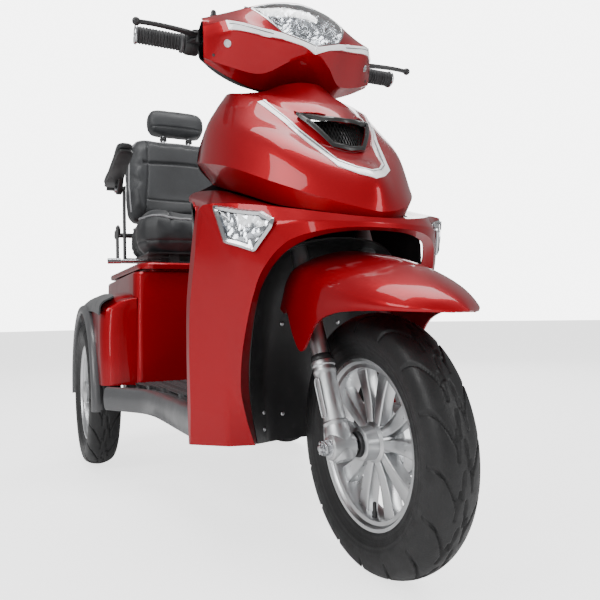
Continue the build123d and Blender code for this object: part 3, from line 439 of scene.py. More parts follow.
def tyre_rubber():
    s = Shader("tyre_rubber")
    dust = s.spread(s.noise(26.0, 6.0), 0.45, 0.8, 0.0, 0.5)
    s.set(Base_Color=s.mix(dust, (0.006, 0.006, 0.0065), (0.016, 0.016, 0.017)))
    s.set(Roughness=s.spread(s.noise(60.0), 0.3, 0.7, 0.42, 0.58), Specular_IOR_Level=0.45)
    grain = s.bump(s.noise(1500.0, 2.0), 0.2, 0.0003)
    s.set(Normal=s.bump(s.cells(420.0), 0.28, 0.0006, grain))
    return s.material


def ribbed_rubber(name, direction, pitch):
    s = Shader(name)
    ribs = s.wave(pitch, direction)
    # The colour follows the rib relief: painted shade darkens the grooves and the crests carry a painted highlight.
    s.set(Base_Color=s.mix(s.spread(ribs, 0.2, 0.8), (0.014, 0.014, 0.015), (0.045, 0.045, 0.047)))
    s.set(Roughness=s.spread(s.noise(90.0), 0.3, 0.7, 0.55, 0.75))
    s.set(Normal=s.bump(ribs, 0.6, 0.0016, s.bump(s.noise(1100.0), 0.2, 0.0003)))
    return s.material


def leather(name, dark, light):
    """Grained leatherette: pebble cells, fine wrinkles and a slight sheen on the crowns."""
    s = Shader(name)
    base = s.mix(s.spread(s.noise(7.0, 5.0), 0.3, 0.7), dark, light)
    s.set(Base_Color=s.mix(s.spread(s.cells(620.0), 0.0, 0.5), tuple(c * 0.7 for c in dark), base))
    s.set(Roughness=s.spread(s.noise(24.0), 0.3, 0.7, 0.42, 0.56), Specular_IOR_Level=0.45)
    s.set(Sheen_Weight=0.12, Sheen_Roughness=0.4)
    wrinkles = s.bump(s.noise(85.0, 6.0, 0.6, stretch=(1, 1.8, 1)), 0.10, 0.0014)
    s.set(Normal=s.bump(s.cells(700.0, "SMOOTH_F1"), 0.35, 0.0005, wrinkles))
    return s.material


def clear_lens(name, tint, facet, clear=1.0):
    """Moulded lens with flutes on its inner face."""
    s = Shader(name)
    s.set(Base_Color=(*tint, 1), Roughness=0.02, IOR=1.45, Transmission_Weight=clear)
    s.set(Normal=s.bump(s.cells(facet, "F1"), 0.10, 0.0015), Coat_Weight=1.0, Coat_Roughness=0.01)
    return s.material


def mirror_facets():
    s = Shader("faceted_reflector")
    # Each facet is painted its own brightness, a painted reflection for how the facets catch the light.
    shade = s.mix(s.cells(48.0, output="Color"), (0.55, 0.56, 0.58), (0.95, 0.96, 0.98))
    s.set(Base_Color=shade, Metallic=1.0, Roughness=0.12)
    s.set(Normal=s.bump(s.cells(62.0), 0.9, 0.006, s.bump(s.noise(300.0), 0.2, 0.0006)))
    return s.material


def white_light_bar():
    s = Shader("white_light_bar")
    glow = s.mix(s.cells(330.0), (0.80, 0.82, 0.84), (1.0, 1.0, 1.0))
    s.set(Base_Color=glow, Roughness=0.18, Coat_Weight=1.0, Coat_Roughness=0.03)
    s.set(Emission_Color=(1, 1, 1, 1), Emission_Strength=0.35, Normal=s.bump(s.cells(330.0), 0.15, 0.0006))
    return s.material


def woven_black():
    s = Shader("grille_black")
    s.set(Base_Color=s.mix(s.noise(200.0), (0.008, 0.008, 0.008), (0.03, 0.03, 0.03)), Roughness=0.32)
    s.set(Normal=s.bump(s.noise(900.0), 0.2, 0.0003))
    return s.material


materials = {
    "red_panel": red_paint(),
    "black_plastic": moulded("black_moulding", (0.010, 0.010, 0.011), (0.022, 0.022, 0.023), 0.42),
    "grey_plastic": moulded("grey_moulding", (0.060, 0.061, 0.064), (0.085, 0.086, 0.090), 0.34, coat=0.25),
    "frame_paint": moulded("black_powder_coat", (0.012, 0.012, 0.013), (0.03, 0.03, 0.032), 0.38, grain=500.0, coat=0.3),
    "steel": metal("zinc_steel", (0.62, 0.63, 0.65), 0.28, brushed=(1, 8, 1)),
    "chrome": metal("chrome_plate", (0.86, 0.87, 0.89), 0.07),
    "fork_silver": metal("fork_silver", (0.62, 0.63, 0.64), 0.40, brushed=(6, 1, 1), cast=-0.07),
    "cast_alloy": metal("cast_alloy", (0.66, 0.67, 0.68), 0.33, cast=0.08),
    "tyre_rubber": tyre_rubber(),
    "grip_rubber": ribbed_rubber("grip_rubber", "Y", 90.0),
    "mat_rubber": ribbed_rubber("mat_rubber", "Y", 42.0),
    "seat_leather": leather("seat_leather", (0.018, 0.019, 0.021), (0.036, 0.038, 0.041)),
    "seat_piping": leather("seat_piping", (0.20, 0.20, 0.21), (0.32, 0.32, 0.33)),
    "clear_lens": clear_lens("clear_lens", (0.96, 0.98, 1.0), 120.0),
    "white_lamp": white_light_bar(),
    "red_lens": clear_lens("red_lens", (0.62, 0.008, 0.010), 160.0, 0.25),
    "reflector": mirror_facets(),
    "battery_case": moulded("battery_case", (0.06, 0.065, 0.08), (0.10, 0.105, 0.12), 0.5),
    "spring_paint": moulded("spring_paint", (0.35, 0.01, 0.01), (0.45, 0.015, 0.015), 0.3, coat=0.6),
    "grille": woven_black(),
    "dark_line": moulded("dark_line", (0.16, 0.16, 0.17), (0.22, 0.22, 0.23), 0.35),
    "silver_trim": metal("silver_trim", (0.70, 0.71, 0.73), 0.18),
}


def paint_frame():
    """Gives every CAD node the finish of its slot."""
    for part in frame["record"]["subparts"]:
        node = nodes[part["node"]]
        node.data.materials.clear()
        node.data.materials.append(materials[part["material_slot"]])


paint_frame()


# ---------------------------------------------------------------- front bodywork
def build_hood():
    """The nose of the body: a beak with a crease where it is widest, and a chamfer tucking in below."""
    rows = [
        [(566, 0, 571), (548, 48, 577), (508, 92, 589), (444, 126, 607), (350, 150, 641), (262, 158, 668), (190, 158, 690)],
        [(575, 0, 580), (560, 50, 590), (520, 97, 612), (454, 146, 645), (368, 186, 684), (270, 202, 712), (187, 190, 732)],
        [(557, 0, 643), (530, 46, 656), (488, 92, 684), (430, 134, 722), (345, 173, 762), (262, 187, 788), (186, 174, 798)],
        [(476, 0, 702), (470, 28, 708), (448, 62, 728), (402, 106, 766), (334, 144, 806), (258, 163, 833), (188, 152, 836)],
        [(460, 0, 763), (452, 26, 766), (436, 50, 771), (408, 74, 780), (342, 114, 826), (258, 142, 860), (190, 136, 864)],
        [(423, 0, 800), (416, 32, 803), (394, 56, 811), (364, 78, 822), (318, 100, 846), (255, 114, 863), (194, 108, 862)],
        [(372, 0, 842), (366, 22, 843), (348, 42, 848), (326, 60, 853), (295, 78, 862), (250, 88, 867), (204, 84, 865)],
        [(338, 0, 872), (333, 18, 873), (320, 34, 874), (300, 48, 875), (276, 62, 874), (246, 68, 872), (210, 66, 869)],
    ]
    skin = panel("hood_skin", rows, materials["red_panel"], 0.003, creases=(1, 3, 4), per_along=8, per_across=7)
    surface = surface_of(skin)
    opening = mirrored([(0, 757), (34, 762), (69, 774), (28, 711), (0, 706)])
    cut(skin, prism(opening, "front", 400, 620))
    finish_piece(skin, "chassis", "red_panel", "hood")

    lip = band_outline([(0, 757), (34, 762), (69, 774), (28, 711), (0, 706)], 2.4)
    rim = ring_patch("grille_rim", surface, lip, materials["grille"], 0.0012, 0.006)
    finish_piece(rim, "chassis", "black_plastic")
    finish_piece(grille_mesh(surface), "chassis", "black_plastic", "hood_grille")
    tray = [[(0.424 - 0.5 * abs(y), y, z) for y in np.linspace(-0.066, 0.066, 9)] for z in (0.692, 0.732, 0.772)]
    back = grid_piece("grille_tray", np.array(tray), materials["black_plastic"])
    modify(back, "SOLIDIFY", thickness=0.002, offset=0)
    finish_piece(settle(back), "chassis", "black_plastic")

    outer = [(0, 636), (24, 644), (51, 661), (85, 738), (119, 815)]
    inner = [(108, 819), (76, 747), (44, 676), (22, 660), (0, 653)]
    strip = patch("light_strip", surface, mirrored(outer + inner), materials["white_lamp"], 0.0018, 0.003, 3.5)
    finish_piece(strip, "chassis", "white_lamp", "hood_light_strip")
    line_outer = [(0, 648.6), (23, 655.6), (46.5, 671), (79.5, 744.6), (111.6, 817)]
    line_inner = [(110.2, 817.6), (78, 745.2), (45, 671.8), (22.4, 657), (0, 650)]
    line = patch("light_strip_line", surface, mirrored(line_outer + line_inner), materials["dark_line"], 0.0022, 0.001, 3.5)
    finish_piece(line, "chassis", "grey_plastic")
    for side in (-1, 1):
        rail = [(side * y, z) for y, z in ((30, 770), (66, 779), (72, 785), (34, 778))]
        brow = patch(f"nose_brow_{'left' if side > 0 else 'right'}", surface, rail, materials["red_panel"], 0.004, 0.004, 3, 0.002)
        finish_piece(brow, "chassis", "red_panel")
    return surface


def band_outline(half, width):
    """A mirrored outline and the same outline moved outwards, as (inner, outer)."""
    inner = [Vector(p) for p in mirrored(half)]
    centre = sum(inner, Vector((0, 0))) / len(inner)
    outer = [p + (p - centre).normalized() * width for p in inner]
    return inner, outer


def ring_patch(name, surface, rings, material, lift, wall):
    """A narrow frame laid on a surface between an inner and an outer outline of equal point counts."""
    inner, outer = (resample(ring, 120) for ring in rings)
    parts = []
    for ring, bevel in ((outer, 0.0), ((outer + inner) / 2, lift * 0.6), (inner, 0.0)):
        row = []
        for y, z in ring:
            place, normal, _, _ = surface.ray_cast(Vector((1.2, y / 1000, z / 1000)), Vector((-1, 0, 0)))
            if place is None:
                place, normal, _, _ = surface.find_nearest(Vector((0.4, y / 1000, z / 1000)))
            if normal.x < 0:
                normal = -normal
            row.append(place + normal * (lift + bevel))
        parts.append(row)
    piece = grid_piece(name, np.array(parts), material, wrap_columns=True)
    modify(piece, "SOLIDIFY", thickness=wall, offset=-1)
    settle(piece)
    return crisp(face_outward(piece), 50)


def resample(ring, count):
    """Points spaced evenly round a closed outline."""
    p = np.array([tuple(q) for q in ring], float)
    p = np.vstack([p, p[:1]])
    along = np.concatenate([[0], np.cumsum(np.linalg.norm(np.diff(p, axis=0), axis=1))])
    want = np.linspace(0, along[-1], count, endpoint=False)
    return np.column_stack([np.interp(want, along, p[:, k]) for k in (0, 1)])


def grille_mesh(surface):
    """Black diamond mesh a little behind the nose opening."""
    pitch_y, pitch_z, depth = 0.0062, 0.0078, 0.013
    low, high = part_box("hood_grille")
    work = bmesh.new()
    low, high = Vector((0, min(low.y, -0.075), 0.698)), Vector((0, max(high.y, 0.075), 0.782))
    columns = int((high.y - low.y + 0.012) / pitch_y)
    rows = int((high.z - low.z + 0.012) / pitch_z)
    points = {}
    for i in range(rows + 1):
        for j in range(columns + 1):
            y = low.y - 0.006 + j * pitch_y + (pitch_y / 2 if i % 2 else 0)
            z = low.z - 0.006 + i * pitch_z
            place, normal, _, _ = surface.ray_cast(Vector((1.2, y, z)), Vector((-1, 0, 0)))
            points[i, j] = work.verts.new(place - Vector((depth, 0, 0)) if place else (0.47, y, z))
    for i in range(rows):
        for j in range(columns):
            shift = 1 if i % 2 else 0
            if (i + 1, j + shift) in points and (i + 2, j) in points:
                corners = [points[i, j], points[i + 1, j + shift], points[i + 2, j]]
                if (i + 1, j + shift - 1) in points:
                    work.faces.new([*corners, points[i + 1, j + shift - 1]])
    bmesh.ops.delete(work, geom=[v for v in work.verts if not v.link_faces], context="VERTS")
    mesh = bpy.data.meshes.new("grille_mesh")
    work.to_mesh(mesh)
    work.free()
    piece = link("grille_mesh", mesh, materials["grille"])
    modify(piece, "WIREFRAME", thickness=0.0018, use_even_offset=False)
    settle(piece)
    return crisp(piece, 40)


def build_shield():
    """The leg shield: a shoulder under the hood, two bowed legs beside the wheel arch, and their inner returns."""
    rows = [
        [(560, 0, 574), (548, 52, 578), (508, 97, 587), (446, 130, 604), (348, 152, 637), (260, 166, 664), (212, 200, 668),
         (300, 240, 636), (384, 252, 607), (362, 254, 540), (334, 256, 450), (319, 254, 360), (310, 251, 270), (306, 250, 248), (296, 246, 187)],
        [(580, 0, 569), (569, 54, 572), (544, 103, 580), (506, 142, 590), (472, 172, 598), (442, 206, 604), (422, 236, 605),
         (404, 248, 603), (394, 251, 586), (378, 253, 522), (350, 255, 437), (333, 253, 352), (322, 249, 266), (318, 248, 246), (303, 245, 187)],
        [(584, 0, 560), (575, 58, 561), (551, 108, 563), (520, 146, 564), (490, 172, 559), (470, 186, 548), (458, 197, 533),
         (448, 203, 515), (440, 205, 496), (424, 206, 455), (402, 206, 395), (382, 203, 325), (372, 197, 258), (369, 194, 232), (356, 190, 187)],
        [(583, 0, 553), (575, 60, 552), (552, 107, 547), (526, 138, 537), (506, 154, 522), (489, 165, 503), (474, 173, 482),
         (463, 178, 458), (452, 181, 434), (436, 184, 396), (416, 185, 345), (396, 180, 288), (382, 166, 240), (378, 160, 222), (370, 146, 187)],
        [(570, 0, 550), (561, 59, 548), (536, 104, 540), (504, 132, 524), (478, 146, 504), (460, 154, 484), (446, 160, 462),
         (434, 163, 436), (424, 165, 410), (408, 165, 372), (388, 162, 326), (368, 154, 276), (352, 142, 228), (348, 138, 214), (341, 130, 184)],
    ]
    skin = panel("shield_skin", rows, materials["red_panel"], 0.0035, creases=(1, 2, 3), per_along=6, per_across=7)
    surface = surface_of(skin)
    finish_piece(skin, "chassis", "red_panel", "front_shield")
    corners = [(231, 598), (170, 582), (158, 567), (180, 524), (216, 542)]
    for side, label in ((-1, "right"), (1, "left")):
        outline = [Vector((side * y, z)) for y, z in corners]
        centre = sum(outline, Vector((0, 0))) / len(outline)
        inner = [p - (p - centre).normalized() * 2.0 for p in outline]
        bowl = patch(f"indicator_bowl_{label}", surface, inner, materials["reflector"], 0.0012, 0.001, 3.0)
        finish_piece(bowl, "chassis", "reflector")
        lens = patch(f"indicator_lens_{label}", surface, inner, materials["clear_lens"], 0.0030, 0.0012, 3.0, 0.0015)
        finish_piece(lens, "chassis", "clear_lens")
        bezel = ring_patch(f"indicator_bezel_{label}", surface, (inner, outline), materials["silver_trim"], 0.0036, 0.0036)
        finish_piece(bezel, "chassis", "chrome")
        if side > 0:
            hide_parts("indicator_lenses")
    return surface


def build_rider_panel():
    """The black closing panel on the rider's side, from under the dash to the footboard."""
    rows = [
        [(192, 0, 845), (191, 60, 845), (189, 120, 844), (188, 150, 838)],
        [(178, 0, 800), (178, 60, 798), (181, 120, 792), (186, 178, 786)],
        [(168, 0, 730), (169, 60, 729), (176, 130, 728), (187, 190, 728)],
        [(172, 0, 690), (173, 55, 690), (180, 110, 690), (190, 160, 690)],
        [(182, 0, 655), (184, 66, 655), (192, 140, 657), (212, 200, 664)],
        [(214, 0, 600), (217, 80, 600), (232, 170, 600), (300, 236, 628)],
        [(228, 0, 540), (231, 80, 540), (246, 170, 545), (345, 247, 560)],
        [(236, 0, 420), (239, 80, 420), (252, 170, 420), (322, 247, 420)],
        [(240, 0, 300), (242, 80, 300), (254, 170, 300), (308, 246, 300)],
        [(240, 0, 253), (242, 80, 253), (254, 170, 253), (303, 245, 253)],
    ]
    skin = panel("rider_side_panel", rows, materials["black_plastic"], 0.003, creases=(3,), per_along=8, per_across=5)
    finish_piece(skin, "chassis", "black_plastic", "rider_panel")
    hook = pipe("bag_hook", mm([(176, 0, 742), (158, 0, 738), (146, 0, 722), (138, 0, 722), (132, 0, 734)]), 0.0045, materials["black_plastic"])
    finish_piece(hook, "chassis", "black_plastic")


def build_wheel_liner():
    """The black textured well behind the front wheel, with its screws."""
    rows = [
        [(470, 0, 552), (462, 50, 549), (440, 96, 538), (424, 134, 512), (440, 158, 484)],
        [(372, 0, 540), (370, 45, 536), (366, 90, 520), (380, 130, 480), (430, 164, 440)],
        [(318, 0, 470), (318, 45, 466), (326, 90, 452), (350, 128, 424), (414, 166, 395)],
        [(301, 0, 380), (302, 50, 378), (312, 95, 370), (338, 126, 352), (390, 163, 335)],
        [(299, 0, 280), (300, 52, 280), (310, 96, 276), (330, 122, 268), (362, 152, 264)],
        [(299, 0, 178), (300, 54, 178), (309, 94, 178), (324, 112, 180), (341, 132, 183)],
    ]
    skin = panel("wheel_well", rows, materials["black_plastic"], 0.003, per_along=6, per_across=6)
    surface = surface_of(skin)
    finish_piece(skin, "chassis", "black_plastic", "wheel_liner")
    heads = []
    for y in (-108, -62, 62, 108):
        for z in (205, 236) if abs(y) > 100 else (228, 402):
            place, normal, _, _ = surface.ray_cast(Vector((0.9, y / 1000, z / 1000)), Vector((-1, 0, 0)))
            dome = [(0.4, 2.6), (2.2, 2.3), (3.9, 1.4), (4.6, 0.2), (4.6, -1.5)]
            heads.append(lathe("screw_head", dome, place, normal if normal.x > 0 else -normal, materials["steel"], 24))
    finish_piece(join("liner_screws", heads), "chassis", "steel", "panel_screws")


def build_fender():
    """The front mudguard: one pressing that narrows to a rounded nose, with a flank outside each fork leg."""
    ridge = [(774, 0, 417), (748, 0, 438), (706, 0, 462), (652, 0, 488), (590, 0, 507), (522, 0, 520), (462, 0, 528), (418, 0, 514), (388, 0, 478), (376, 0, 436)]
    shoulder = [(771, 8, 416.5), (742, 32, 433), (702, 50, 452), (650, 62, 472), (589, 71, 489), (522, 77, 502), (463, 80, 509), (418, 80, 494), (390, 79, 462), (378, 76, 424)]
    crease = [(767, 15, 415.5), (733, 54, 423), (694, 78, 432), (645, 94, 445), (590, 103, 458), (530, 107, 470), (474, 108, 476),
              (434, 107, 468), (410, 105, 448), (396, 103, 430)]
    edge = [(765, 17, 414), (728, 58, 417), (690, 81, 419), (641, 97, 420), (592, 105, 417), (546, 110, 402), (500, 112, 358),
            (466, 111, 380), (436, 108, 420), (414, 104, 420)]
    columns = [through(np.array(curve, float), 7) for curve in (ridge, shoulder, crease, edge)]
    columns = [np.stack([c, s, e, g]) for c, s, e, g in zip(*columns)]
    grid = []
    for column in columns:
        half = through(column, 8, ghost=column[1] * (1, -1, 1))
        grid.append(np.vstack([half[:0:-1] * (1, -1, 1), half]))
    guard = grid_piece("mudguard", np.array(grid) / 1000, materials["red_panel"])
    face_outward_sheet(guard, Vector((0.5, 0, 0.3)))
    modify(guard, "SOLIDIFY", thickness=0.0035, offset=-1)
    settle(guard)
    crisp(guard)
    surface = surface_of(guard)
    finish_piece(guard, "fork_lower", "red_panel", "front_fender")
    return surface


# ---------------------------------------------------------------- head fairing
def build_head():
    rows = [
        [(232, 0, 1061), (232, 50, 1056), (232, 95, 1047), (232, 150, 1025), (232, 190, 1014)],
        [(292, 0, 1053), (289, 50, 1047), (280, 92, 1037), (262, 142, 1022), (236, 191, 1012)],
        [(336, 0, 1002), (328, 50, 1001), (306, 98, 1002), (282, 146, 1004), (246, 192, 1003)],
        [(358, 0, 946), (346, 50, 954), (328, 92, 967), (303, 150, 986), (252, 193, 988)],
        [(362, 0, 931), (352, 45, 937), (332, 90, 948), (306, 150, 963), (250, 192, 968)],
        [(357, 0, 925), (334, 40, 913), (290, 88, 896), (264, 150, 912), (243, 190, 930)],
        [(322, 0, 904), (303, 42, 899), (272, 84, 890), (252, 145, 908), (239, 188, 929)],
        [(262, 0, 880), (255, 42, 880), (245, 84, 882), (238, 140, 902), (234, 186, 925)],
    ]
    skin = panel("head_skin", rows, materials["red_panel"], 0.003, creases=(1, 3, 4, 5), per_along=9, per_across=6)
    surface = surface_of(skin)
    lens = [(0, 938), (60, 963), (78, 986), (102, 1028), (84, 1035), (60, 1041), (30, 1045), (0, 1047)]
    bar = [(0, 934), (62, 959), (160, 987), (156, 967), (64, 947), (0, 924)]
    lamps = [[(side * y, z) for y, z in bar] for side in (-1, 1)]
    cut(skin, prism(mirrored(lens), "front", 215, 420))
    finish_piece(skin, "steering", "red_panel", "head_cover")

    glass = patch("headlight_glass", surface, mirrored(lens), materials["clear_lens"], 0.0008, 0.0024, 5.0, 0.002)
    finish_piece(glass, "steering", "clear_lens", "headlight_lens")
    rim = ring_patch("headlight_rim", surface, band_outline(lens, 3.0), materials["silver_trim"], 0.0008, 0.004)
    finish_piece(rim, "steering", "chrome")
    for side, outline, label in zip((-1, 1), lamps, ("right", "left")):
        lamp = patch(f"running_lamp_{label}", surface, outline, materials["white_lamp"], 0.0018, 0.003, 3.5, 0.001)
        finish_piece(lamp, "steering", "white_lamp")
        if side > 0:
            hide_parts("running_lamps")
        # A thin grey line laid on the lamp where its groove runs: painted shade for the groove.
        line = [(side * y, z) for y, z in ((78, 957.5), (154, 979), (154.6, 977.6), (78.6, 956.1))]
        groove_shade_line = patch(f"running_lamp_line_{label}", surface, line, materials["dark_line"], 0.0032, 0.001, 3.5)
        finish_piece(groove_shade_line, "steering", "grey_plastic")
    finish_piece(headlight_bowls(surface), "steering", "reflector", "headlight_reflector")
    for side, label in ((-1, "right"), (1, "left")):
        plug = [(0.5, 15), (3.5, 14.6), (5.2, 12.5), (5.6, 8), (5.4, 5), (7.4, 4), (7.6, 0), (7.6, -8)]
        at = Vector((0.228, side * 0.163, 1.022))
        finish_piece(lathe(f"mirror_plug_{label}", plug, at, (0, 0, 1), materials["black_plastic"], 32), "steering", "black_plastic")
        for number, (y, z) in enumerate(((155, 946), (174, 932))):
            place, normal, _, _ = surface.ray_cast(Vector((1.2, side * y / 1000, z / 1000)), Vector((-1, 0, 0)))
            socket = [(7.5, 0.4), (7.0, 1.2), (5.5, 1.3), (4.6, -0.4), (3.4, -0.6), (0.4, -0.3)] if number == 0 else [(3, 0.3), (2.6, 0.8), (1.6, 0.4), (0.3, 0.1)]
            screw = lathe(f"head_screw_{label}_{number}", socket, place, normal if normal.x > 0 else -normal, materials["steel" if number == 0 else "black_plastic"], 28)
            finish_piece(screw, "steering", "steel")


def headlight_bowls(surface):
    """Three faceted bowls behind the headlight glass, stepped like pressed reflectors."""
    columns, rows = 96, 56
    grid = np.zeros((rows, columns, 3))
    for i in range(rows):
        for j in range(columns):
            y = -0.104 + 0.208 * j / (columns - 1)
            z = 0.936 + 0.112 * i / (rows - 1)
            place, _, _, _ = surface.ray_cast(Vector((1.2, y, z)), Vector((-1, 0, 0)))
            front = place.x if place else 0.26
            depth = 0.012
            for centre_y, centre_z, radius in ((0.0, 0.985, 0.042), (-0.056, 0.998, 0.034), (0.056, 0.998, 0.034)):
                away = hypot(y - centre_y, z - centre_z) / radius
                if away < 1:
                    depth = max(depth, 0.012 + 0.034 * (1 - away * away))
            facet = 0.0012 * (sin(y * 620) * sin(z * 620))
            grid[i, j] = (front - depth + facet, y, z)
    piece = grid_piece("headlight_bowls", grid, materials["reflector"])
    modify(piece, "SOLIDIFY", thickness=0.0015, offset=1)
    settle(piece)
    return crisp(piece, 60)


# ---------------------------------------------------------------- wheels
groove_depth = 5.0
tread_repeats = 16


def smooth_step(value, low, high):
    t = np.clip((value - low) / (high - low), 0, 1)
    return t * t * (3 - 2 * t)


def tyre_mesh():
    """A scooter tyre about its own centre, axis along Y: curved directional grooves and shoulder slots, cut in the mesh."""
    radius, half = tyre_radius * 1000, tyre_half_width * 1000
    outer = [(-26, 131), (-31, 137), (-34, 146), (-39, 158), (-half, 172), (-41, 184), (-36.5, 195), (-28, 202), (-15, 207), (0, radius)]
    outer = outer + [(-y, r) for y, r in reversed(outer[:-1])]
    inner = [(24, 134), (30, 150), (34, 172), (28, 190), (0, 199), (-28, 190), (-34, 172), (-30, 150), (-24, 134)]
    profile = np.vstack([through(outer, 7), through(inner, 2)])
    around = 40 * tread_repeats
    theta = np.linspace(0, tau, around, endpoint=False)
    y = profile[:, 0][None, :]
    r = profile[:, 1][None, :] + 0 * theta[:, None]
    is_tread = (np.arange(len(profile)) < 7 * (len(outer) - 1) + 1)[None, :] & (profile[:, 1][None, :] > 178)
    pitch = tau * radius / tread_repeats
    travel = theta[:, None] * radius
    across = np.abs(y)
    stagger = pitch * 0.5 * (y > 0)
    sweep = 64 * np.clip((43 - across) / 35, 0, 1) ** 1.7
    offset = (travel + sweep - stagger + pitch / 2) % pitch - pitch / 2
    depth = (1 - smooth_step(np.abs(offset), 1.9, 3.9)) * smooth_step(across, 8, 11) * (1 - smooth_step(across, 43, 45))
    along = ((travel - stagger) % pitch) / pitch
    for lane, start, end in ((11.5, 0.08, 0.62), (5.0, 0.45, 0.95)):
        slit = 1 - smooth_step(np.abs(across - lane + 5 * (along - start)), 0.9, 1.9)
        depth = np.maximum(depth, 0.8 * slit * smooth_step(along, start, start + 0.03) * (1 - smooth_step(along, end, end + 0.03)))
    depth = depth * is_tread * smooth_step(profile[:, 1][None, :], 178, 183)
    r = r - groove_depth * depth
    ribs = 0.5 * smooth_step(np.abs((profile[:, 1][None, :] - 156) % 8 - 4), 3.3, 3.8) * (profile[:, 1][None, :] < 166)
    outward = np.sign(y) * ribs * (np.arange(len(profile)) < 7 * (len(outer) - 1) + 1)[None, :]
    verts = np.stack([r * np.cos(theta[:, None]), y + outward + 0 * r, r * np.sin(theta[:, None])], axis=-1) / 1000
    mesh = bpy.data.meshes.new("tyre")
    faces = grid_faces(around, len(profile), wrap_rows=True, wrap_columns=True)
    mesh.from_pydata(verts.reshape(-1, 3).tolist(), [], faces)
    mesh.shade_smooth()
    return mesh


def rim_profile():
    """The outer half of a stepped rim lip, from the barrel to the flange edge, as (radius, y)."""
    lip = [(119, 0), (119, 12), (119.5, 19), (121, 22.5), (124, 23.2), (127, 23.8), (129.5, 26.5), (131, 29.6), (134, 30.2),
           (137, 30.6), (139.6, 31.3), (140, 30.2), (139.4, 28.9), (136, 28), (130, 25.5), (127.4, 21), (126.6, 12), (126, 0)]
    return lip


def spoke_outline(side):
    """One curved arm in the wheel's plane, as (distance out, distance round) from the hub centre."""
    return [(18, 0.8 * side), (36, 2.0 * side), (58, 4.4 * side), (80, 9.0 * side), (100, 15 * side), (121, 20 * side),
            (121, 55 * side), (108, 48 * side), (92, 40 * side), (74, 32 * side), (56, 25.5 * side), (36, 20 * side), (18, 16.5 * side)]


def wheel_disc(name):
    """Five pairs of cast arms, crowned and chamfered."""
    work = bmesh.new()
    for turn in range(5):
        angle = radians(18 + 72 * turn)
        for side in (-1, 1):
            ring = [Vector((x, 0, z)) for x, z in spoke_outline(side)]
            faces = []
            for y in (-11, 11):
                corners = []
                for p in ring:
                    crown = 1.0 + 0.22 * max(0.0, (60 - p.x) / 60)
                    turned = Vector((p.x * cos(angle) - p.z * sin(angle), y * crown, p.x * sin(angle) + p.z * cos(angle)))
                    corners.append(work.verts.new(turned / 1000))
                faces.append(corners)
            count = len(ring)
            work.faces.new(faces[0])
            work.faces.new(faces[1][::-1])
            for i in range(count):
                j = (i + 1) % count
                work.faces.new((faces[0][j], faces[0][i], faces[1][i], faces[1][j]))
    bmesh.ops.recalc_face_normals(work, faces=work.faces)
    mesh = bpy.data.meshes.new(name)
    work.to_mesh(mesh)
    work.free()
    piece = link(name, mesh, materials["cast_alloy"])
    modify(piece, "BEVEL", width=0.0026, segments=3, limit_method="ANGLE", angle_limit=radians(40))
    return settle(piece)


def build_rim(name, centre, hub):
    """Rim lip, arms and hub as one casting about a wheel centre; hub is a profile of (radius, y)."""
    lip = rim_profile()
    ring = lip + [(r, -y) for r, y in reversed(lip) if abs(y) > 0.1]
    parts = [wheel_disc(name + "_arms")]
    parts.append(lathe("lip", ring, (0, 0, 0), (0, 1, 0), materials["cast_alloy"], 144, closed=True))
    parts.append(lathe("hub", hub, (0, 0, 0), (0, 1, 0), materials["cast_alloy"], 72))
    piece = join(name, parts)
    piece.location = centre
    return piece


def build_wheels():
    tread = tyre_mesh()
    front_hub = [(8, -41), (14, -41), (24, -40), (27, -38), (27, -16), (33, -13), (34, 8), (52, 10), (56, 12), (56, 38), (54, 40), (8, 40)]
    rear_hub = [(0.5, 37), (10, 37), (15, 35.5), (20, 34), (30, 34), (33, 31), (33, -30), (30, -34), (12, -34), (12, -40), (0.5, -40)]
    places = [("front", front_axle, "front_wheel", 1)]
    places += [(f"rear_{side}", rear_axles[side], f"rear_wheel_{side}", -1 if side == "right" else 1) for side in rear_axles]
    for label, centre, body, side in places:
        tyre = link(f"treaded_tyre_{label}", tread.copy(), materials["tyre_rubber"])
        tyre.location = centre
        node = label.replace("rear_", "rear_tyre_") if label != "front" else "front_tyre"
        finish_piece(tyre, body, "tyre_rubber", node)
        hub = front_hub if label == "front" else [(r, side * y) for r, y in rear_hub]
        rim = build_rim(f"cast_rim_{label}", centre, hub)
        finish_piece(rim, body, "cast_alloy", node.replace("tyre", "rim"))
        stem = [(0.4, 26), (2.2, 25.6), (3.2, 24), (3.2, 12), (4.4, 10), (4.6, 0), (0.4, -2)]
        at = centre + Vector((0.0, side * -0.012, -0.121)) if label == "front" else centre + Vector((0, side * 0.012, -0.121))
        valve = lathe(f"valve_{label}", stem, at, (0, 0, 1), materials["black_plastic"], 24)
        finish_piece(valve, body, "black_plastic")
    ring = [(13, -5), (18, -5), (20, -3.5), (21, 0), (21, 3), (13, 3)]
    seal = lathe("dust_ring", ring, front_axle - Vector((0, 0.041, 0)), (0, 1, 0), materials["black_plastic"], 64, closed=True)
    finish_piece(seal, "front_wheel", "black_plastic")


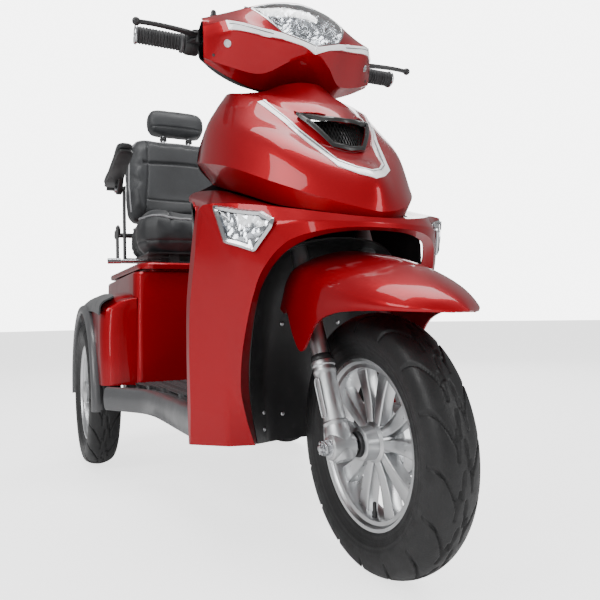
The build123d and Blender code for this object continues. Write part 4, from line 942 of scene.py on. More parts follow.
# ---------------------------------------------------------------- fork
def build_fork():
    """Lower legs with machined rings and a cast foot, over bright upper tubes."""
    for side, label in ((-1, "right"), (1, "left")):
        foot = front_axle + Vector((0, side * 0.072, 0))
        tube = [(6, -24), (15, -23), (19, -18), (20.5, -6), (20.8, 14), (20.8, 28), (19.6, 31), (19.6, 34), (20.4, 36), (20.4, 38), (18.2, 41),
                (17.6, 60), (17.6, 116), (18.4, 120), (19.4, 122), (19.4, 126), (18.2, 128), (18.2, 131), (19.8, 133), (19.8, 139), (18.6, 141),
                (15.6, 142), (15.3, 141)]
        leg = lathe(f"fork_leg_{label}", tube, foot, fork_up, materials["fork_silver"], 72)
        boss = [(8, -21), (17, -21), (20, -19), (21.5, -14), (21.5, 14), (20, 19), (17, 21), (8, 21)]
        knuckle = lathe("knuckle", boss, foot, (0, 1, 0), materials["fork_silver"], 72)
        rib = pipe("rib", [foot - fork_ahead * 0.016 + fork_up * 0.008, foot - fork_ahead * 0.0185 + fork_up * 0.06, foot - fork_ahead * 0.016 + fork_up * 0.118], 0.005, materials["fork_silver"], 20)
        panel_ring = [foot + fork_ahead * a / 1000 + fork_up * u / 1000 + Vector((0, side * 0.0178, 0)) for a, u in ((-7, 50), (7, 50), (7.5, 80), (7, 110), (-7, 110), (-7.5, 80), (-7, 50))]
        frame_line = pipe("recess_frame", panel_ring, 0.0014, materials["fork_silver"], 12)
        legs = join(f"fork_lower_leg_{label}", [leg, knuckle, rib, frame_line])
        if side > 0:
            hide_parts("fork_sliders")
        finish_piece(legs, "fork_lower", "fork_silver")
        nut = castle_nut(f"axle_nut_{label}", front_axle + Vector((0, side * 0.0925, 0)), side)
        finish_piece(nut, "fork_lower", "steel")
        dust = lathe(f"fork_seal_{label}", [(15.2, 141.5), (18.4, 141.5), (18.9, 144), (17.8, 150), (16.2, 152), (15.2, 152)], foot, fork_up, materials["black_plastic"], 64, closed=True)
        finish_piece(dust, "fork_lower", "black_plastic")


def castle_nut(name, centre, side):
    """A slotted hexagon nut with its washer."""
    work = bmesh.new()
    for low, high, radius, sides in ((0.0, 0.0022, 0.0165, 40), (0.0022, 0.0105, 0.0125, 6)):
        shape = bmesh.ops.create_cone(work, cap_ends=True, segments=sides, radius1=radius, radius2=radius * 0.96, depth=high - low)
        bmesh.ops.translate(work, verts=shape["verts"], vec=(0, 0, (low + high) / 2))
    for i in range(6):
        angle = tau * i / 6
        shape = bmesh.ops.create_cube(work, size=1)
        bmesh.ops.scale(work, verts=shape["verts"], vec=(0.0052, 0.0042, 0.005))
        bmesh.ops.translate(work, verts=shape["verts"], vec=(0.0082, 0, 0.0128))
        bmesh.ops.rotate(work, verts=shape["verts"], cent=(0, 0, 0), matrix=Matrix.Rotation(angle, 3, "Z"))
    shape = bmesh.ops.create_cone(work, cap_ends=True, segments=32, radius1=0.0058, radius2=0.0050, depth=0.018)
    bmesh.ops.translate(work, verts=shape["verts"], vec=(0, 0, 0.009))
    bmesh.ops.rotate(work, verts=work.verts, cent=(0, 0, 0), matrix=Matrix.Rotation(-side * pi / 2, 3, "X"))
    bmesh.ops.translate(work, verts=work.verts, vec=centre)
    mesh = bpy.data.meshes.new(name)
    work.to_mesh(mesh)
    work.free()
    piece = link(name, mesh, materials["steel"])
    modify(piece, "BEVEL", width=0.0006, segments=2, limit_method="ANGLE")
    return crisp(settle(piece))


# ---------------------------------------------------------------- controls
def bar_line(side, y):
    """A point on the outer handlebar, at a distance from the middle in millimetres."""
    share = (y - 120) / (301 - 120)
    return Vector((172 - 15 * share, side * y, 985 + 7 * share)) / 1000


def build_controls():
    for side, label, node, body in ((-1, "right", "throttle_grip", "throttle"), (1, "left", "grip_left", "steering")):
        start, end = bar_line(side, 210), bar_line(side, 307)
        profile = [(11.4, 0), (18.6, 0), (19.2, 1.5), (19.0, 4), (16.6, 6)]
        for k in range(13):
            at = 9 + k * 6.3
            profile += [(16.4, at), (16.9, at + 1.2), (16.9, at + 3.4), (15.6, at + 4.2), (15.4, at + 5.4)]
        profile += [(16.6, 91.5), (18.0, 93)]
        grip = lathe(f"rubber_grip_{label}", profile, start, end - start, materials["grip_rubber"], 72)
        finish_piece(grip, body, "grip_rubber", node)
        end_cap = [(18.0, 93), (19, 94), (19, 96.5), (17.5, 98.2), (8, 98.6), (7.5, 97.8), (0.4, 97.8)]
        cap = lathe(f"grip_end_{label}", end_cap, start, end - start, materials["silver_trim"], 64)
        finish_piece(cap, body, "steel")
        if side < 0:
            collar = lathe("throttle_collar", [(11.4, -1), (20, -1), (20.6, 0.5), (20.6, 4.5), (20, 5.6), (16, 6)], start, end - start, materials["grey_plastic"], 64)
            finish_piece(collar, body, "grey_plastic")
        pod = pod_form(side, label)
        finish_piece(pod, "steering", "black_plastic")
        if side > 0:
            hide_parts("switch_pods")
        finish_piece(lever_form(side, label), f"brake_{label}", "black_plastic", f"brake_lever_{label}")
        root = bar_line(side, 182) + Vector((0.022, 0, -0.004))
        cable = [root + Vector((0.012, -side * 0.004, 0)), root + Vector((0.022, -side * 0.030, -0.006)), Vector((0.205, side * 0.128, 0.957)), Vector((0.214, side * 0.080, 0.918))]
        finish_piece(pipe(f"brake_cable_{label}", cable, 0.0026, materials["black_plastic"], 12), "steering", "black_plastic")


def pod_form(side, label):
    """A switch housing clamped round the bar in two halves, with its lever bracket."""
    start, end = bar_line(side, 178), bar_line(side, 208.5)
    shell = [(11.2, 0), (19, 0), (21.5, 2), (22.4, 8), (22.4, 14.4), (21.6, 15.0), (22.4, 15.6), (22.4, 24), (21, 28.5), (18.5, 30.5), (11.2, 30.5)]
    body = lathe("pod", shell, start, end - start, materials["black_plastic"], 48)
    parts = [body]
    pivot = bar_line(side, 190) + Vector((0.042, 0, 0))
    for low, high in ((-0.012, -0.0075), (0.0045, 0.009)):
        outline = [(156, 176), (186, 174), (206, 180), (211, 190), (206, 200), (186, 206), (156, 206)]
        ears = prism([(x, side * y) for x, y in outline], "plan", 992 + low * 1000, 992 + high * 1000)
        modify(ears, "BEVEL", width=0.0012, segments=2)
        parts.append(settle(ears))
    parts.append(lathe("pivot", [(0.4, -14), (4.5, -14), (5.2, -12.5), (5.2, 10), (4.5, 11.6), (0.4, 11.6)], pivot, (0, 0, 1), materials["steel"], 24))
    return join(f"switch_housing_{label}", parts)


def lever_form(side, label):
    """A forged brake lever: flat blade, curved forward, with a ball at its tip."""
    line = [(194, 182), (203, 192), (211, 214), (217, 250), (219, 285), (217, 313)]
    width = [9.5, 9.5, 7.5, 6.2, 5.6, 5.0]
    height = [5.0, 5.0, 4.6, 4.2, 4.0, 4.2]
    path = through([(x, side * y, 990.5) for x, y in line], 8)
    share = np.linspace(0, 1, len(path))
    across = np.interp(share, np.linspace(0, 1, len(width)), width)
    thick = np.interp(share, np.linspace(0, 1, len(height)), height)
    around = 20
    grid = np.zeros((len(path), around, 3))
    for i, place in enumerate(path):
        ahead = path[min(i + 1, len(path) - 1)] - path[max(i - 1, 0)]
        out = np.array([ahead[1], -ahead[0], 0]) / hypot(ahead[0], ahead[1])
        for j in range(around):
            angle = tau * j / around
            flat = (abs(cos(angle)) ** 0.6) * np.sign(cos(angle))
            grid[i, j] = place + out * across[i] * flat + np.array([0, 0, thick[i] * sin(angle)])
    blade = grid_piece("blade", grid / 1000, materials["black_plastic"], wrap_columns=True)
    cap_ends(blade)
    ball = [(0.4 if k in (0, 16) else 8 * sin(pi * k / 16), -8 * cos(pi * k / 16)) for k in range(17)]
    tip = lathe("ball", ball, (0.217, side * 0.315, 0.9905), (0, 1, 0), materials["black_plastic"], 32)
    return join(f"forged_lever_{label}", [face_outward(blade), tip])


def build_dash():
    """Rider's side of the head: a round gauge with a plain dial, and a key plate."""
    rows = [
        [(232, 0, 1058), (232, 50, 1053), (232, 95, 1044), (230, 150, 1021), (228, 189, 1010)],
        [(196, 0, 1051), (194, 50, 1047), (192, 95, 1038), (196, 150, 1015), (206, 188, 1003)],
        [(160, 0, 1020), (160, 50, 1016), (162, 95, 1007), (172, 150, 997), (190, 186, 991)],
        [(137, 0, 985), (138, 50, 982), (142, 95, 976), (158, 150, 970), (182, 184, 970)],
        [(140, 0, 950), (141, 50, 948), (146, 95, 946), (160, 148, 948), (186, 182, 952)],
        [(170, 0, 912), (171, 50, 912), (174, 95, 914), (184, 140, 924), (206, 182, 938)],
        [(230, 0, 878), (230, 45, 880), (230, 92, 887), (230, 136, 903), (232, 184, 928)],
    ]
    skin = panel("dash_skin", rows, materials["black_plastic"], 0.003, creases=(2,), per_along=8, per_across=6)
    finish_piece(skin, "steering", "black_plastic", "dash_cover")
    facing = Vector((-0.86, 0, 0.51)).normalized()
    across, upward = Vector((0, 1, 0)), facing.cross(Vector((0, 1, 0)))
    centre = Vector((0.158, 0, 1.017))
    bezel = [(30, -6), (36, -6), (38, -2), (38, 4), (36.5, 7), (34, 8), (32.5, 6), (32, 3)]
    finish_piece(lathe("gauge_bezel", bezel, centre, facing, materials["silver_trim"], 72, closed=True), "steering", "chrome")
    face = lathe("gauge_face", [(0.4, 2.2), (32, 2.2), (32, -4), (0.4, -4)], centre, facing, materials["black_plastic"], 72)
    finish_piece(face, "steering", "black_plastic")
    marks = []
    for k in range(21):
        angle = radians(-125 + 12.5 * k)
        outer, inner = 0.0290, 0.0245 if k % 5 == 0 else 0.0268
        spot = [centre + facing * 0.0026 + (across * sin(angle) + upward * -cos(angle)) * r for r in (inner, outer)]
        # The marks take the glowing lamp finish: a painted glow, though they are no lamp.
        marks.append(pipe("mark", spot, 0.0005 if k % 5 else 0.0009, materials["white_lamp"], 8, 1))
    needle = [centre + facing * 0.004, centre + facing * 0.004 + (across * -0.72 + upward * 0.60) * 0.024]
    finish_piece(join("gauge_marks", marks), "steering", "white_lamp")
    finish_piece(pipe("gauge_needle", needle, 0.0009, materials["red_lens"], 8, 1), "steering", "red_lens")
    glass = lathe("gauge_glass", [(0.4, 7), (16, 6.6), (32, 5.2), (32, 4.4), (0.4, 5.6)], centre, facing, materials["clear_lens"], 72)
    finish_piece(glass, "steering", "clear_lens")
    ring = [(9.5, -2), (13.5, -2), (14.2, 0), (13.4, 2.4), (9.8, 3)]
    key = lathe("key_surround", ring, (0.1425, -0.070, 0.9723), (-0.98, 0, 0.18), materials["silver_trim"], 48, closed=True)
    finish_piece(key, "steering", "chrome")


# ---------------------------------------------------------------- rear bodywork and floor
def rounded_box_rows(levels, corner, steps=6):
    """Plan outlines with round corners, one for each (z, front x, rear x, front half width, rear half width)."""
    rows = []
    for z, front, rear, front_half, rear_half in levels:
        corners = [(front, front_half, 0), (rear, rear_half, 90), (rear, -rear_half, 180), (front, -front_half, 270)]
        row = []
        for (x, y, start), (dx, dy) in zip(corners, ((-1, -1), (1, -1), (1, 1), (-1, 1))):
            for k in range(steps + 1):
                angle = radians(start + 90 * k / steps)
                row.append((x + dx * corner + corner * cos(angle), y + dy * corner + corner * sin(angle), z))
        rows.append(dense_ring(row, 6))
    return np.array(rows)


def dense_ring(row, cuts):
    """Splits the long straight sides of a closed outline."""
    out = []
    for a, b in zip(row, row[1:] + row[:1]):
        out.append(a)
        if hypot(b[0] - a[0], b[1] - a[1]) > 60:
            out += [tuple(np.array(a) + (np.array(b) - np.array(a)) * k / cuts) for k in range(1, cuts)]
    return out


def build_rear_body():
    """The seat box with its raised collar, and a guard pod over each rear wheel."""
    levels = [(250, -198, -760, 250, 236), (262, -198, -760, 250, 236), (420, -200, -758, 248, 234), (536, -203, -752, 245, 232),
              (541, -206, -749, 242, 229), (543, -214, -741, 234, 221), (545, -232, -722, 216, 205)]
    grid = rounded_box_rows(levels, 24)
    box = grid_piece("seat_box", grid / 1000, materials["red_panel"], wrap_columns=True)
    face_outward_sheet(box, Vector((-0.48, 0, 0.40)))
    modify(box, "SOLIDIFY", thickness=0.003, offset=-1)
    settle(box)
    hole = [(rear_axles["left"].x * 1000 + 76 * cos(tau * k / 32), rear_axles["left"].z * 1000 + 76 * sin(tau * k / 32)) for k in range(32)]
    cut(box, prism(hole, "side", -300, 300))
    finish_piece(box, "chassis", "red_panel", "rear_shell")
    collar = lathe_box_collar()
    finish_piece(collar, "chassis", "red_panel")
    for side, label in ((-1, "right"), (1, "left")):
        finish_piece(guard_pod(side, label), "chassis", "red_panel")
        cap, lip = guard_trim(side, label)
        finish_piece(cap, "chassis", "grey_plastic")
        finish_piece(lip, "chassis", "grey_plastic")
        if side > 0:
            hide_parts("fender_trims")
    build_lid()


def lathe_box_collar():
    """The short red plinth that stands between the seat box and its lid."""
    levels = [(541, -222, -716, 212, 206), (549, -222, -716, 212, 206), (550, -226, -712, 208, 202)]
    collar = grid_piece("seat_plinth", rounded_box_rows(levels, 30) / 1000, materials["red_panel"], wrap_columns=True)
    face_outward_sheet(collar, Vector((-0.48, 0, 0.54)))
    modify(collar, "SOLIDIFY", thickness=0.003, offset=-1)
    return crisp(settle(collar))


def guard_pod(side, label):
    """Red guard beside the seat box: its face leans forward, its top slopes outwards, and the wheel arch is cut out."""
    rows = []
    stations = [(-206, 0.0), (-208, 0.35), (-214, 0.7), (-226, 0.92), (-250, 1.0), (-330, 1.0), (-420, 1.0), (-514, 1.0), (-600, 1.0), (-660, 0.97), (-704, 0.9), (-735, 0.75), (-752, 0.5)]
    for x, fullness in stations:
        reach = 244 + (326 - 244) * min(1.0, 0.25 + 0.75 * fullness)
        top_in = 496 - 0.00030 * (x + 420) ** 2 + (0 if x < -230 else -8)
        top_out = top_in - 24
        rows.append([(x, side * 240, top_in), (x, side * (240 + (reach - 240) * 0.5), top_in - 7), (x, side * (reach - 9), top_out), (x, side * (reach - 2), top_out - 9),
                     (x, side * reach, top_out - 24), (x, side * (reach + 3), 380), (x, side * (reach + 3), 320), (x, side * (reach + 1), 252)])
    front = [(-206, side * 240 + side * 0.0, z) for _, _, z in rows[0]]
    rows.insert(0, [(x, side * 240, p[2]) for x, p in zip([-204] * 8, rows[0])])
    del front
    grid = through(np.array(rows, float).reshape(len(rows), -1), 5).reshape(-1, 8, 3)
    fine = np.array([through(row, 4) for row in grid]) / 1000
    pod = grid_piece(f"guard_pod_{label}", fine, materials["red_panel"])
    face_outward_sheet(pod, Vector((-0.48, side * 0.24, 0.30)))
    modify(pod, "SOLIDIFY", thickness=0.003, offset=-1)
    settle(pod)
    centre = rear_axles[label]
    arch = [(centre.x * 1000 + 236 * cos(tau * k / 96), centre.z * 1000 + 236 * sin(tau * k / 96)) for k in range(96)]
    wide = [(x, z) for x, z in arch]
    low, high = (262, 345) if side > 0 else (-345, -262)
    return cut(pod, prism(wide, "side", low, high))


def guard_trim(side, label):
    """Grey satin strip over the pod's outer shoulder, and the rolled lip round the wheel arch."""
    centre = rear_axles[label] * 1000
    rows = []
    for x in np.linspace(-214, -742, 44):
        top = 496 - 0.00030 * (x + 420) ** 2 - 24
        taper = smooth_step(np.array(-x), 206, 250) * (1 - smooth_step(np.array(-x), 690, 745))
        rows.append([(x, side * (292 + 4 * (1 - taper)), top + 18.5), (x, side * 308, top + 12), (x, side * 321, top + 5),
                     (x, side * 329, top - 6), (x, side * 331, top - 22), (x, side * 331.5, top - 28)])
    cap = grid_piece(f"guard_cap_{label}", np.array([through(row, 4) for row in rows]) / 1000, materials["grey_plastic"])
    face_outward_sheet(cap, Vector((-0.48, side * 0.24, 0.30)))
    modify(cap, "SOLIDIFY", thickness=0.004, offset=0)
    crisp(settle(cap))
    section = [(233, 318), (233, 338), (235, 342.5), (240, 344.5), (246, 344), (251, 341), (254, 334), (254, 326)]
    sweep = []
    for k in range(73):
        angle = radians(-6 + 192 * k / 72)
        flow = max(0.0, 1 - k / 14)
        sweep.append([(centre.x + (r + 8 * flow) * cos(angle), side * y, centre.z + r * sin(angle)) for r, y in section])
    lip = grid_piece(f"arch_lip_{label}", np.array([through(row, 3) for row in sweep]) / 1000, materials["grey_plastic"])
    modify(lip, "SOLIDIFY", thickness=0.0035, offset=0)
    return cap, crisp(settle(lip))


def build_lid():
    """The lid over the batteries: a dished cover with a raised rim."""
    levels = [(548.4, -192, -698, 232, 232), (552, -190.5, -699.5, 234, 234), (560, -190.5, -699.5, 234, 234), (564, -193, -697, 231, 231),
              (565, -199, -691, 225, 225), (564.4, -206, -684, 218, 218), (562.6, -210, -680, 214, 214), (562.2, -260, -630, 164, 164),
              (562.2, -330, -560, 94, 94)]
    rows = rounded_box_rows(levels[:-2], 38)
    last = rounded_box_rows(levels[-2:], 38)
    lid = grid_piece("battery_cover", np.vstack([rows, last]) / 1000, materials["red_panel"], wrap_columns=True)
    cap_ends(lid)
    finish_piece(crisp(face_outward(lid)), "chassis", "red_panel", "battery_lid")


def build_floor():
    """A grey satin skirt round the footboard with rolled edges, and a ribbed mat inside it."""
    outline = [(296, 240), (180, 241), (40, 242), (-20, 245), (-70, 254), (-110, 272), (-150, 296), (-196, 324)]
    section = [(-26, 249), (-16, 250.5), (-9, 251), (-3, 248.5), (0, 243), (2.5, 228), (2, 212), (-1, 199), (-5, 194), (-9, 194), (-10, 197)]
    path = through(outline, 8)
    rows = {side: [] for side in (-1, 1)}
    for i, (x, y) in enumerate(path):
        ahead = path[min(i + 1, len(path) - 1)] - path[max(i - 1, 0)]
        out = np.array([-ahead[1], ahead[0]]) / hypot(*ahead)
        out = out if out[1] > 0 else -out
        for side in rows:
            rows[side].append([(x + out[0] * o, side * (y + out[1] * o), z) for o, z in section])
    for side, label in ((-1, "right"), (1, "left")):
        grid = np.array([through(row, 4) for row in rows[side]]) / 1000
        skirt = grid_piece(f"side_skirt_{label}", grid, materials["grey_plastic"])
        face_outward_sheet(skirt, Vector((0, side * 0.20, 0.22)))
        modify(skirt, "SOLIDIFY", thickness=0.004, offset=-1)
        finish_piece(crisp(settle(skirt)), "chassis", "grey_plastic")
        if side > 0:
            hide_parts("floor_skirt")
    low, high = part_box("floor_mat")
    ribs = []
    columns = 150
    across = np.linspace(low.y + 0.004, high.y - 0.004, columns)
    height = high.z + 0.0004 + 0.0016 * (np.abs((across * 1000 / 9) % 1 - 0.5) < 0.28)
    for x in np.linspace(-0.192, high.x - 0.022, 60):
        reach = np.interp(x * 1000, [-192, -140, -60, 40, 290], [246, 250, 222, 210, 208]) / 1000
        ribs.append([(x, float(np.clip(y, -reach, reach)), h) for y, h in zip(across, height)])
    mat = grid_piece("ribbed_mat", np.array(ribs), materials["mat_rubber"])
    modify(mat, "SOLIDIFY", thickness=0.006, offset=-1)
    finish_piece(crisp(settle(mat), 25), "chassis", "mat_rubber", "floor_mat")


def build_lamps():
    """Tail lamps: a black surround and a red lens with upright flutes."""
    low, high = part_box("tail_lamps")
    for side, label in ((-1, "right"), (1, "left")):
        centre = Vector((low.x + 0.006, side * 0.150, (low.z + high.z) / 2))
        for name, half_y, half_z, lift, slot, body in (("surround", 62, 30, 0.0, "black_plastic", 0.012), ("lens", 56, 24, -0.0035, "red_lens", 0.010)):
            rows = []
            for inset, x in ((0, body), (0, 0.004), (1.5, 0.0012), (4, 0.0), (14, -0.0008), (22, -0.0010)):
                ring = []
                for k in range(64):
                    angle = tau * k / 64
                    y = (half_y - inset) * np.sign(cos(angle)) * abs(cos(angle)) ** 0.35
                    z = (half_z - inset) * np.sign(sin(angle)) * abs(sin(angle)) ** 0.35
                    ring.append((centre.x + x + lift, centre.y + y / 1000, centre.z + z / 1000))
                rows.append(ring)
            piece = grid_piece(f"tail_{name}_{label}", np.array(rows), materials[slot], wrap_columns=True)
            cap_ends(piece)
            finish_piece(crisp(face_outward(piece)), "chassis", slot)
            if side > 0 and name == "lens":
                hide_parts("tail_lamps")


# ---------------------------------------------------------------- seat
def inflate(piece, cap, pressure=4.0, voxel=0.006):
    """Remeshes a closed form and blows it up as cloth, with no point moving further than the cap."""
    modify(piece, "REMESH", mode="VOXEL", voxel_size=voxel)
    settle(piece)
    before = np.array([v.co for v in piece.data.vertices])
    cloth = modify(piece, "CLOTH")
    cloth.settings.quality = 4
    cloth.settings.mass = 0.3
    cloth.settings.use_pressure = True
    cloth.settings.uniform_pressure_force = pressure
    cloth.settings.tension_stiffness = 12
    cloth.settings.compression_stiffness = 12
    cloth.settings.bending_stiffness = 0.8
    cloth.settings.effector_weights.gravity = 0
    cloth.collision_settings.use_collision = False
    cloth.point_cache.frame_start, cloth.point_cache.frame_end = 1, 20
    for number in range(1, 21):
        scene.frame_set(number)
    settle(piece)
    after = np.array([v.co for v in piece.data.vertices])
    moved = after - before
    length = np.linalg.norm(moved, axis=1, keepdims=True)
    after = before + moved * np.minimum(1, cap / np.maximum(length, 1e-9))
    piece.data.vertices.foreach_set("co", after.astype(np.float32).ravel())
    scene.frame_set(1)
    modify(piece, "SMOOTH", factor=0.5, iterations=10)
    modify(piece, "SUBSURF", levels=1, render_levels=1)
    return crisp(settle(piece), 60)


def points_of(piece):
    co = np.zeros(len(piece.data.vertices) * 3, np.float32)
    piece.data.vertices.foreach_get("co", co)
    normals = np.zeros(len(piece.data.vertices) * 3, np.float32)
    piece.data.vertex_normals.foreach_get("vector", normals)
    return co.reshape(-1, 3).astype(float), normals.reshape(-1, 3).astype(float)


def set_points(piece, co):
    piece.data.vertices.foreach_set("co", co.astype(np.float32).ravel())
    piece.data.update()
    return piece


def sink(distance, width):
    """How deep a seam pulls the cover in, for a distance from the seam: 1 on it, fading over a width."""
    return np.exp(-((distance / width) ** 2))


def pillow(name, outline, low, high, place, shrink=0.0):
    """A closed block for a cushion: an outline in the pad's own plane, between two depths, put in the frame by place()."""
    count = len(outline)
    centre = np.mean(np.array(outline, float), axis=0)
    rings = []
    for depth, inset in ((low, 0.10), (low + (high - low) * 0.22, 0.0), (high - (high - low) * 0.22, 0.0), (high, 0.10)):
        ring = [centre + (np.array(p) - centre) * (1 - inset) * (1 - shrink) for p in outline]
        rings.append([place(a, b, depth) for a, b in ring])
    verts = [p for ring in rings for p in ring]
    faces = [tuple(range(count))[::-1], tuple(range(3 * count, 4 * count))]
    for r in range(3):
        faces += [(r * count + i, r * count + (i + 1) % count, (r + 1) * count + (i + 1) % count, (r + 1) * count + i) for i in range(count)]
    return face_outward(build(name, verts, faces, materials["seat_leather"]))


def build_cushion():
    """Seat cushion: raised bolsters, a dished middle, sewn channels and a piped front edge."""
    low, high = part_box("seat_cushion")
    bottom, top = low.z * 1000 + 6, high.z * 1000 - 10
    half = [(-252, 0), (-256, 110), (-270, 176), (-292, 206), (-340, 222), (-400, 214), (-470, 200), (-560, 194), (-594, 184), (-600, 120), (-600, 0)]
    outline = half + [(x, -y) for x, y in reversed(half[1:-1])]
    pad = pillow("leather_cushion", outline, bottom, top, lambda x, y, z: Vector((x, y, z)) / 1000)
    inflate(pad, 0.016)
    co, normals = points_of(pad)
    upper = smooth_step(normals[:, 2], 0.15, 0.7)
    x, y = co[:, 0] * 1000, np.abs(co[:, 1]) * 1000
    dish = 11 * np.exp(-((y / 105) ** 4)) * smooth_step(-x, 262, 330)
    bolster = 9 * np.exp(-(((y - 168) / 34) ** 2))
    ends = smooth_step(-x, 255, 300) * (1 - smooth_step(-x, 560, 610))
    co[:, 2] += upper * (bolster - dish) * ends / 1000
    seam = np.minimum(np.abs(y - 128 - 10 * smooth_step(-x, 300, 420)), 400)
    cross = np.where(y < 130, np.abs(x + 372), 99)
    channel = np.maximum(sink(seam, 3.2), 0.8 * sink(cross, 3.2))
    co -= normals * (upper * channel * 4.5 / 1000)[:, None]
    side = 1 - smooth_step(np.abs(normals[:, 2]), 0.4, 0.75)
    co -= normals * (side * sink(co[:, 2] * 1000 - 634, 3.0) * 3.0 / 1000)[:, None]
    set_points(pad, co)
    crisp(pad, 70)
    finish_piece(pad, "seat", "seat_leather", "seat_cushion")
    surface = surface_of(pad)
    track = []
    for y_at in np.linspace(-196, 196, 41):
        edge = -252 - 46 * (abs(y_at) / 206) ** 4
        place, normal, _, _ = surface.find_nearest(Vector((edge / 1000 + 0.012, y_at / 1000, (top + 16) / 1000)))
        track.append(place + normal * 0.0006)
    for y_end in (1, -1):
        tail = []
        for x_at in np.linspace(-312, -560, 22):
            place, normal, _, _ = surface.find_nearest(Vector((x_at / 1000, y_end * 0.226, (top + 16) / 1000)))
            tail.append(place + normal * 0.0006)
        track = track + tail if y_end > 0 else tail[::-1] + track
    finish_piece(pipe("cushion_piping", track, 0.0030, materials["seat_piping"], 12, 3), "seat", "seat_leather")


def on_back(x, up, ahead):
    """A place in the leaning backrest's own frame, in millimetres: across, up the back, and forward of the hinge."""
    return hinge_at + (back_ahead * ahead + back_up * up + Vector((0, x, 0))) / 1000


def back_frame(co):
    """Across, up and forward in the backrest's frame, in millimetres, for an array of points."""
    away = co - np.array(hinge_at)
    return co[:, 1] * 1000, away @ np.array(back_up) * 1000, away @ np.array(back_ahead) * 1000


def build_backrest():
    """Backrest: wide bolsters, an upright seam each side, and a deep crease under the shoulder pad."""
    half = [(0, 36), (120, 36), (168, 42), (186, 66), (194, 140), (193, 210), (186, 264), (174, 310), (156, 338), (128, 350), (60, 354), (0, 355)]
    outline = half + [(-a, b) for a, b in reversed(half[1:-1])]
    pad = pillow("leather_backrest", outline, -80, -16, on_back)
    inflate(pad, 0.014)
    co, normals = points_of(pad)
    y, up, _ = back_frame(co)
    y = np.abs(y)
    facing = smooth_step(normals @ np.array(back_ahead), 0.2, 0.75)
    rear = smooth_step(-(normals @ np.array(back_ahead)), 0.2, 0.75)
    bolster = 12 * np.exp(-(((y - 158) / 30) ** 2)) * smooth_step(up, 40, 110) * (1 - smooth_step(up, 280, 350))
    hollow = 8 * np.exp(-((y / 95) ** 4)) * np.exp(-(((up - 150) / 95) ** 2))
    lumbar = 5 * np.exp(-((y / 100) ** 4)) * np.exp(-(((up - 80) / 40) ** 2))
    co += np.array(back_ahead) * (facing * (bolster - hollow + lumbar) / 1000)[:, None]
    edge = np.abs(y - (128 - 16 * smooth_step(up, 60, 250)))
    crease = np.where(y < 130, np.abs(up - 248 - 4 * np.cos(y / 60)), 99)
    low_crease = np.where(y < 126, np.abs(up - 116), 99)
    channel = np.maximum.reduce([sink(edge, 3.2), 1.5 * sink(crease, 5.0), 0.8 * sink(low_crease, 3.0)])
    co -= normals * (facing * channel * 5 / 1000)[:, None]
    co -= normals * (rear * sink(np.abs(np.hypot(y / 150, (up - 190) / 130) - 1) * 130, 3.0) * 3 / 1000)[:, None]
    set_points(pad, co)
    crisp(pad, 70)
    finish_piece(pad, "seat_back", "seat_leather", "backrest")
    surface = surface_of(pad)
    spots = [on_back(a, b, -14) for a, b in through([(-196, 60), (-200, 140), (-199, 215), (-192, 272), (-178, 322), (-150, 350), (-80, 361), (0, 363), (80, 361), (150, 350), (178, 322), (192, 272), (199, 215), (200, 140), (196, 60)], 4)]
    track = []
    for spot in spots:
        place, normal, _, _ = surface.find_nearest(spot + back_ahead * 0.010)
        track.append(place + normal * 0.0006)
    finish_piece(pipe("backrest_piping", track, 0.0028, materials["seat_piping"], 12, 2), "seat_back", "seat_leather")


def build_headrest():
    """Headrest pillow with a seam along its middle, on two steel posts."""
    half = [(0, 376), (60, 376), (86, 381), (96, 396), (98, 420), (95, 444), (84, 458), (60, 463), (0, 464)]
    outline = half + [(-a, b) for a, b in reversed(half[1:-1])]
    pad = pillow("leather_headrest", outline, -78, -18, on_back)
    inflate(pad, 0.010, voxel=0.005)
    co, normals = points_of(pad)
    y, up, _ = back_frame(co)
    facing = smooth_step(normals @ np.array(back_ahead), -0.2, 0.3)
    co -= normals * (facing * sink(up - 394, 2.6) * 3.2 / 1000)[:, None]
    co += np.array(back_ahead) * (facing * 4 * np.exp(-(((up - 425) / 26) ** 2)) / 1000)[:, None]
    set_points(pad, co)
    finish_piece(crisp(pad, 70), "head_rest", "seat_leather", "headrest")
    for side, label in ((-1, "right"), (1, "left")):
        post = lathe(f"headrest_post_{label}", [(0.4, 0), (4.2, 0.4), (5, 2), (5, 110)], on_back(side * 45, 284, -48), back_up, materials["chrome"], 32)
        finish_piece(post, "head_rest", "chrome")
        guide = lathe(f"post_guide_{label}", [(5.4, -4), (5.4, 6), (8, 7), (11, 5.5), (12, 2), (12, -4)], on_back(side * 45, 360, -48), back_up, materials["black_plastic"], 40, closed=True)
        finish_piece(guide, "seat_back", "black_plastic")


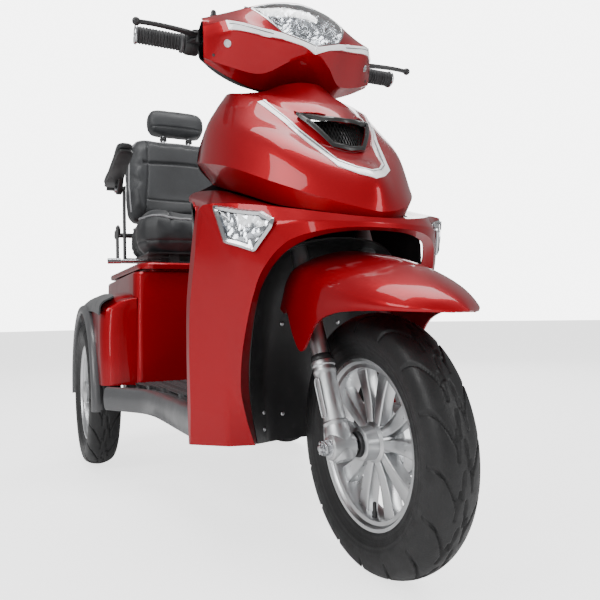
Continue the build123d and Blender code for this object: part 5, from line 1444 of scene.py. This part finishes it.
def build_armrests():
    """Armrest pads: long rounded blocks of leatherette over a black under-shell."""
    for side, label in ((-1, "right"), (1, "left")):
        low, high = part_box(f"armrest_{label}")
        tilt = radians(10.4)
        along, up = Vector((cos(tilt), 0, sin(tilt))), Vector((-sin(tilt), 0, cos(tilt)))
        centre = Vector((-0.408, side * 0.250, 0.859))

        def place(a, b, depth, centre=centre, along=along, up=up):
            return centre + (along * a + Vector((0, b, 0)) + up * depth) / 1000

        half = [(142, 0), (139, 14), (128, 22), (100, 24), (0, 24), (-100, 24), (-130, 22), (-142, 12), (-145, 0)]
        outline = half + [(a, -b) for a, b in reversed(half[1:-1])]
        pad = pillow(f"leather_armrest_{label}", outline, -4, 13, place)
        inflate(pad, 0.004, voxel=0.004)
        finish_piece(pad, f"arm_{label}", "seat_leather", f"armrest_{label}")
        shell = pillow(f"armrest_shell_{label}", outline, -15, -4, place, shrink=0.06)
        shell.data.materials[0] = materials["black_plastic"]
        modify(shell, "BEVEL", width=0.003, segments=3, limit_method="ANGLE")
        finish_piece(crisp(settle(shell)), f"arm_{label}", "black_plastic")
        bracket = [(-518, 806), (-508, 798), (-492, 798), (-482, 806), (-452, 838), (-408, 850), (-412, 857), (-520, 838)]
        inner, outer = side * 224, side * 240
        arm = prism(bracket, "side", min(inner, outer), max(inner, outer))
        arm.name = f"armrest_bracket_{label}"
        modify(arm, "BEVEL", width=0.003, segments=3, limit_method="ANGLE")
        finish_piece(crisp(settle(arm)), f"arm_{label}", "black_plastic")
        del low, high
        cap = lathe(f"armrest_pivot_{label}", [(0.4, 6), (8, 6), (10, 4.5), (10.4, 0), (10.4, -2)], (-0.5, side * 0.240, 0.812), (0, side, 0), materials["steel"], 40)
        finish_piece(cap, f"arm_{label}", "steel")


# ---------------------------------------------------------------- CAD nodes that stay
def soften_frame_nodes():
    """Small rounded edges on the CAD parts that are shown as they are."""
    for node, width in (("frame", 0.0012), ("swing_arm", 0.001), ("seat_base", 0.001), ("swivel_plate", 0.001), ("fork_crown", 0.0015),
                        ("transaxle", 0.0015), ("dash_cover", 0.0), ("front_brake_plate", 0.0008), ("battery_pack", 0.002),
                        ("motor_controller", 0.002), ("turn_switch", 0.001), ("ignition_key", 0.0006)):
        piece = nodes[node]
        if width and not piece.hide_render:
            modify(piece, "WELD", merge_threshold=0.00001)
            modify(piece, "BEVEL", width=width, segments=2, limit_method="ANGLE", angle_limit=radians(40))


# ---------------------------------------------------------------- stage
def build_stage():
    """A pale floor, a white room that lights softly from above, and softboxes that draw the highlights."""
    grid = np.array([[(x, y, -0.0005) for y in (-30, 30)] for x in (-40, 30)], float)
    floor_look = Shader("studio_floor")
    floor_look.set(Base_Color=floor_look.mix(floor_look.noise(0.6), (0.90, 0.90, 0.905), (0.93, 0.93, 0.93)), Roughness=0.42)
    seen = floor_look.add("ShaderNodeLightPath").outputs["Is Camera Ray"]
    floor_look.set(Emission_Color=(1, 1, 1, 1), Emission_Strength=floor_look.spread(seen, 0.0, 1.0, 0.12, 2.0))
    grid_piece("floor", grid, floor_look.material)
    world = bpy.data.worlds.new("studio")
    world.use_nodes = True
    tree = world.node_tree
    rays = tree.nodes.new("ShaderNodeLightPath")
    level = tree.nodes.new("ShaderNodeMapRange")
    level.inputs["To Min"].default_value, level.inputs["To Max"].default_value = 0.36, 6.0
    tree.links.new(rays.outputs["Is Camera Ray"], level.inputs["Value"])
    tree.nodes["Background"].inputs["Color"].default_value = (1, 1, 1, 1)
    tree.links.new(level.outputs["Result"], tree.nodes["Background"].inputs["Strength"])
    scene.world = world
    target = Vector((0, 0, 0.5))
    for name, place, size, power in (
        ("key", (1.2, -3.0, 2.4), (1.4, 2.0), 75), ("fill", (3.2, 1.6, 1.6), (0.9, 2.4), 48),
        ("strip", (2.8, -2.2, 1.0), (0.35, 1.8), 14), ("top", (0.2, 0.0, 3.6), (3.0, 1.2), 100), ("rim", (-2.8, 2.0, 2.2), (1.8, 1.8), 55),
    ):
        lamp = bpy.data.lights.new(name, "AREA")
        lamp.shape, lamp.size, lamp.size_y, lamp.energy = "RECTANGLE", *size, power
        light = bpy.data.objects.new(name, lamp)
        light.location = place
        light.rotation_euler = (target - Vector(place)).to_track_quat("-Z", "Y").to_euler()
        scene.collection.objects.link(light)


def build_camera():
    """Low and close, ahead of the right front corner."""
    yaw, pitch, roll = radians(154.31), radians(1.764), radians(-1.20)
    view = Vector((cos(yaw) * cos(pitch), sin(yaw) * cos(pitch), sin(pitch)))
    right = view.cross(Vector((0, 0, 1))).normalized()
    up = right.cross(view)
    right, up = right * cos(roll) + up * sin(roll), up * cos(roll) - right * sin(roll)
    lens = bpy.data.cameras.new("camera")
    lens.lens, lens.sensor_width, lens.clip_start = 37.02, 36, 0.02
    camera = bpy.data.objects.new("camera", lens)
    turn = Matrix((right, up, -view)).transposed().to_4x4()
    camera.matrix_world = Matrix.Translation((1.4046, -0.5487, 0.4103)) @ turn
    scene.collection.objects.link(camera)
    scene.camera = camera


for step in (
    build_hood, build_shield, build_rider_panel, build_wheel_liner, build_fender, build_head, build_wheels, build_fork, build_controls,
    build_dash, build_rear_body, build_floor, build_lamps, build_cushion, build_backrest, build_headrest, build_armrests,
    soften_frame_nodes, build_stage, build_camera,
):
    step()
